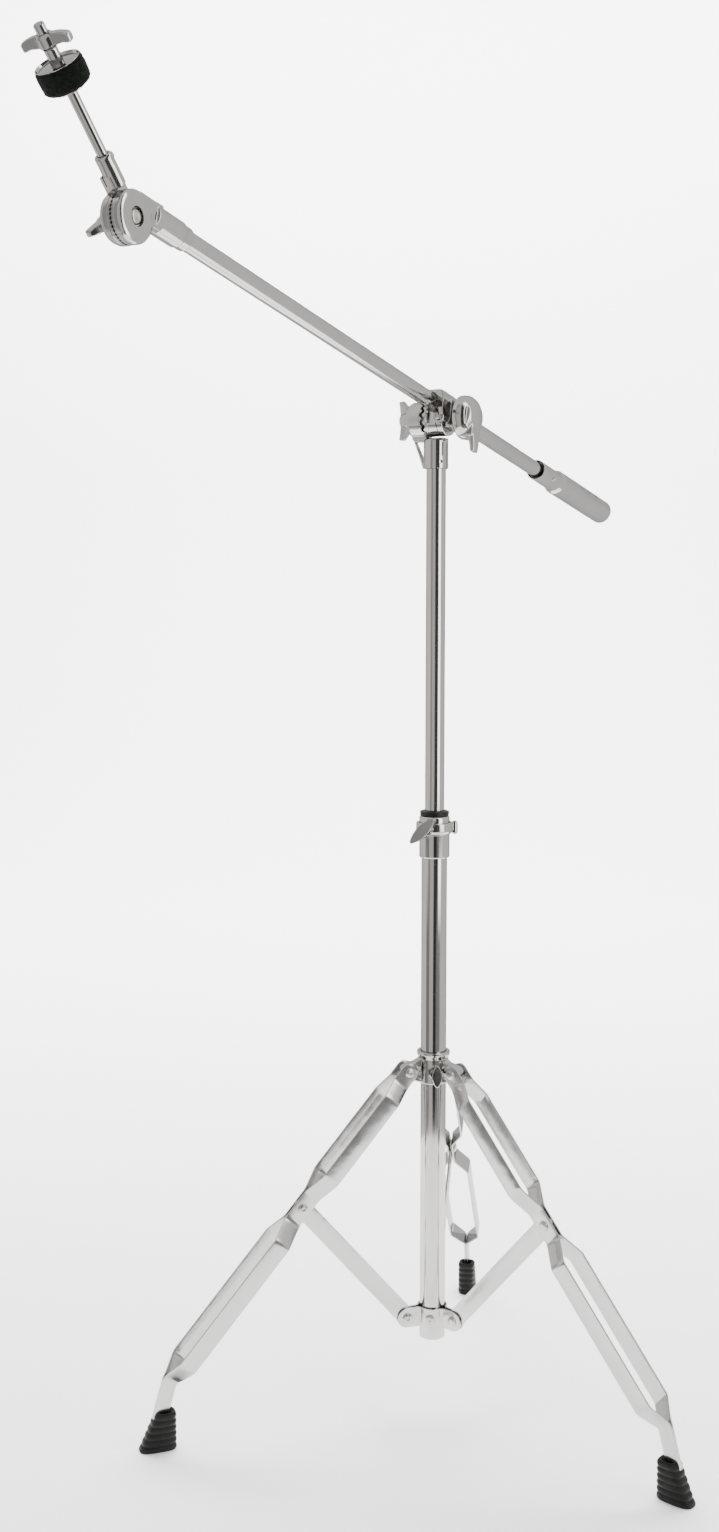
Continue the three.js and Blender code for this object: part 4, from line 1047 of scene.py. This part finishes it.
def make_tent():
    """A tent round the stand that only reflections see: grey, with a black gap and a tall bright strip."""
    material = bpy.data.materials.new("tent")
    material.use_nodes = True
    tree = material.node_tree
    tree.nodes.clear()
    coords = tree.nodes.new("ShaderNodeTexCoord")
    split = tree.nodes.new("ShaderNodeSeparateXYZ")
    tree.links.new(coords.outputs["Object"], split.inputs["Vector"])
    behind = math_node(tree, "MULTIPLY", split.outputs["Y"], -1.0)
    angle = math_node(tree, "ARCTAN2", split.outputs["X"], behind)
    turn = math_node(tree, "MULTIPLY_ADD", angle, 0.5 / pi, 0.5)
    mix = tree.nodes.new("ShaderNodeMix")
    mix.data_type = "RGBA"
    tree.links.new(ranged(tree, split.outputs["Z"], 0.0, 1.0, 0.38, 0.5), mix.inputs["Factor"])
    tree.links.new(levels(tree, turn, LOW_LEVELS), mix.inputs[MIX_FIRST])
    tree.links.new(levels(tree, turn, HIGH_LEVELS), mix.inputs[MIX_SECOND])
    glow = tree.nodes.new("ShaderNodeEmission")
    glow.inputs["Strength"].default_value = BRIGHTEST
    tree.links.new(mix.outputs[MIX_RESULT], glow.inputs["Color"])
    output = tree.nodes.new("ShaderNodeOutputMaterial")
    tree.links.new(glow.outputs[0], output.inputs["Surface"])
    material.cycles.emission_sampling = "NONE"
    count, radius = TENT["sides"], TENT["radius"]
    verts = [(radius * sin(2 * pi * k / count), -radius * cos(2 * pi * k / count), z)
             for k in range(count) for z in (TENT["low"], TENT["high"])]
    faces = [(2 * k, (2 * k + 2) % len(verts), (2 * k + 3) % len(verts), 2 * k + 1) for k in range(count)]
    tent = staged("tent", verts, faces, material)
    tent.location = MAST.translation
    tent.visible_camera = tent.visible_diffuse = tent.visible_shadow = False


def area_light(name, at, aim, width, height, power):
    data = bpy.data.lights.new(name, "AREA")
    data.shape, data.size, data.size_y, data.energy = "RECTANGLE", width, height, power
    light = bpy.data.objects.new(name, data)
    light.location = at
    light.rotation_euler = (Vector(aim) - Vector(at)).to_track_quat("-Z", "Y").to_euler()
    light.visible_glossy = False
    bpy.context.scene.collection.objects.link(light)


def make_world():
    """Soft light that is a little brighter overhead than at the horizon."""
    world = bpy.data.worlds.new("studio")
    world.use_nodes = True
    tree = world.node_tree
    coords = tree.nodes.new("ShaderNodeTexCoord")
    split = tree.nodes.new("ShaderNodeSeparateXYZ")
    tree.links.new(coords.outputs["Generated"], split.inputs["Vector"])
    tree.links.new(tinted(tree, split.outputs["Z"], (0.72, 0.71, 0.695), (1.0, 0.99, 0.975), 0.0, 0.8),
                   tree.nodes["Background"].inputs["Color"])
    bpy.context.scene.world = world


def make_lights():
    target = MAST.translation + Z * 0.6
    area_light("left_bank", target + Vector((-2.7, -0.5, 0.7)), target, 2.6, 2.2, 42)
    area_light("right_bank", target + Vector((2.3, -1.0, 0.75)), target, 1.5, 1.7, 46)
    area_light("overhead", target + Vector((0, 1.8, 2.6)), target + Vector((0, 2.2, -0.6)), 4.5, 2.0, 260)
    area_light("wall_wash", target + Vector((0, 1.9, 2.7)), target + Vector((0, 4.0, 0.2)), 5.0, 1.2, 480)


def make_camera():
    data = bpy.data.cameras.new("camera")
    data.lens, data.sensor_width = CAMERA["lens"], 36
    camera = bpy.data.objects.new("camera", data)
    camera.location = MAST.translation + Vector((0, -CAMERA["back"], CAMERA["height"]))
    camera.rotation_euler = (pi / 2 + CAMERA["pitch"], 0, CAMERA["yaw"])
    bpy.context.scene.collection.objects.link(camera)
    bpy.context.scene.camera = camera


make_floor()
make_tent()
make_world()
make_lights()
make_camera()
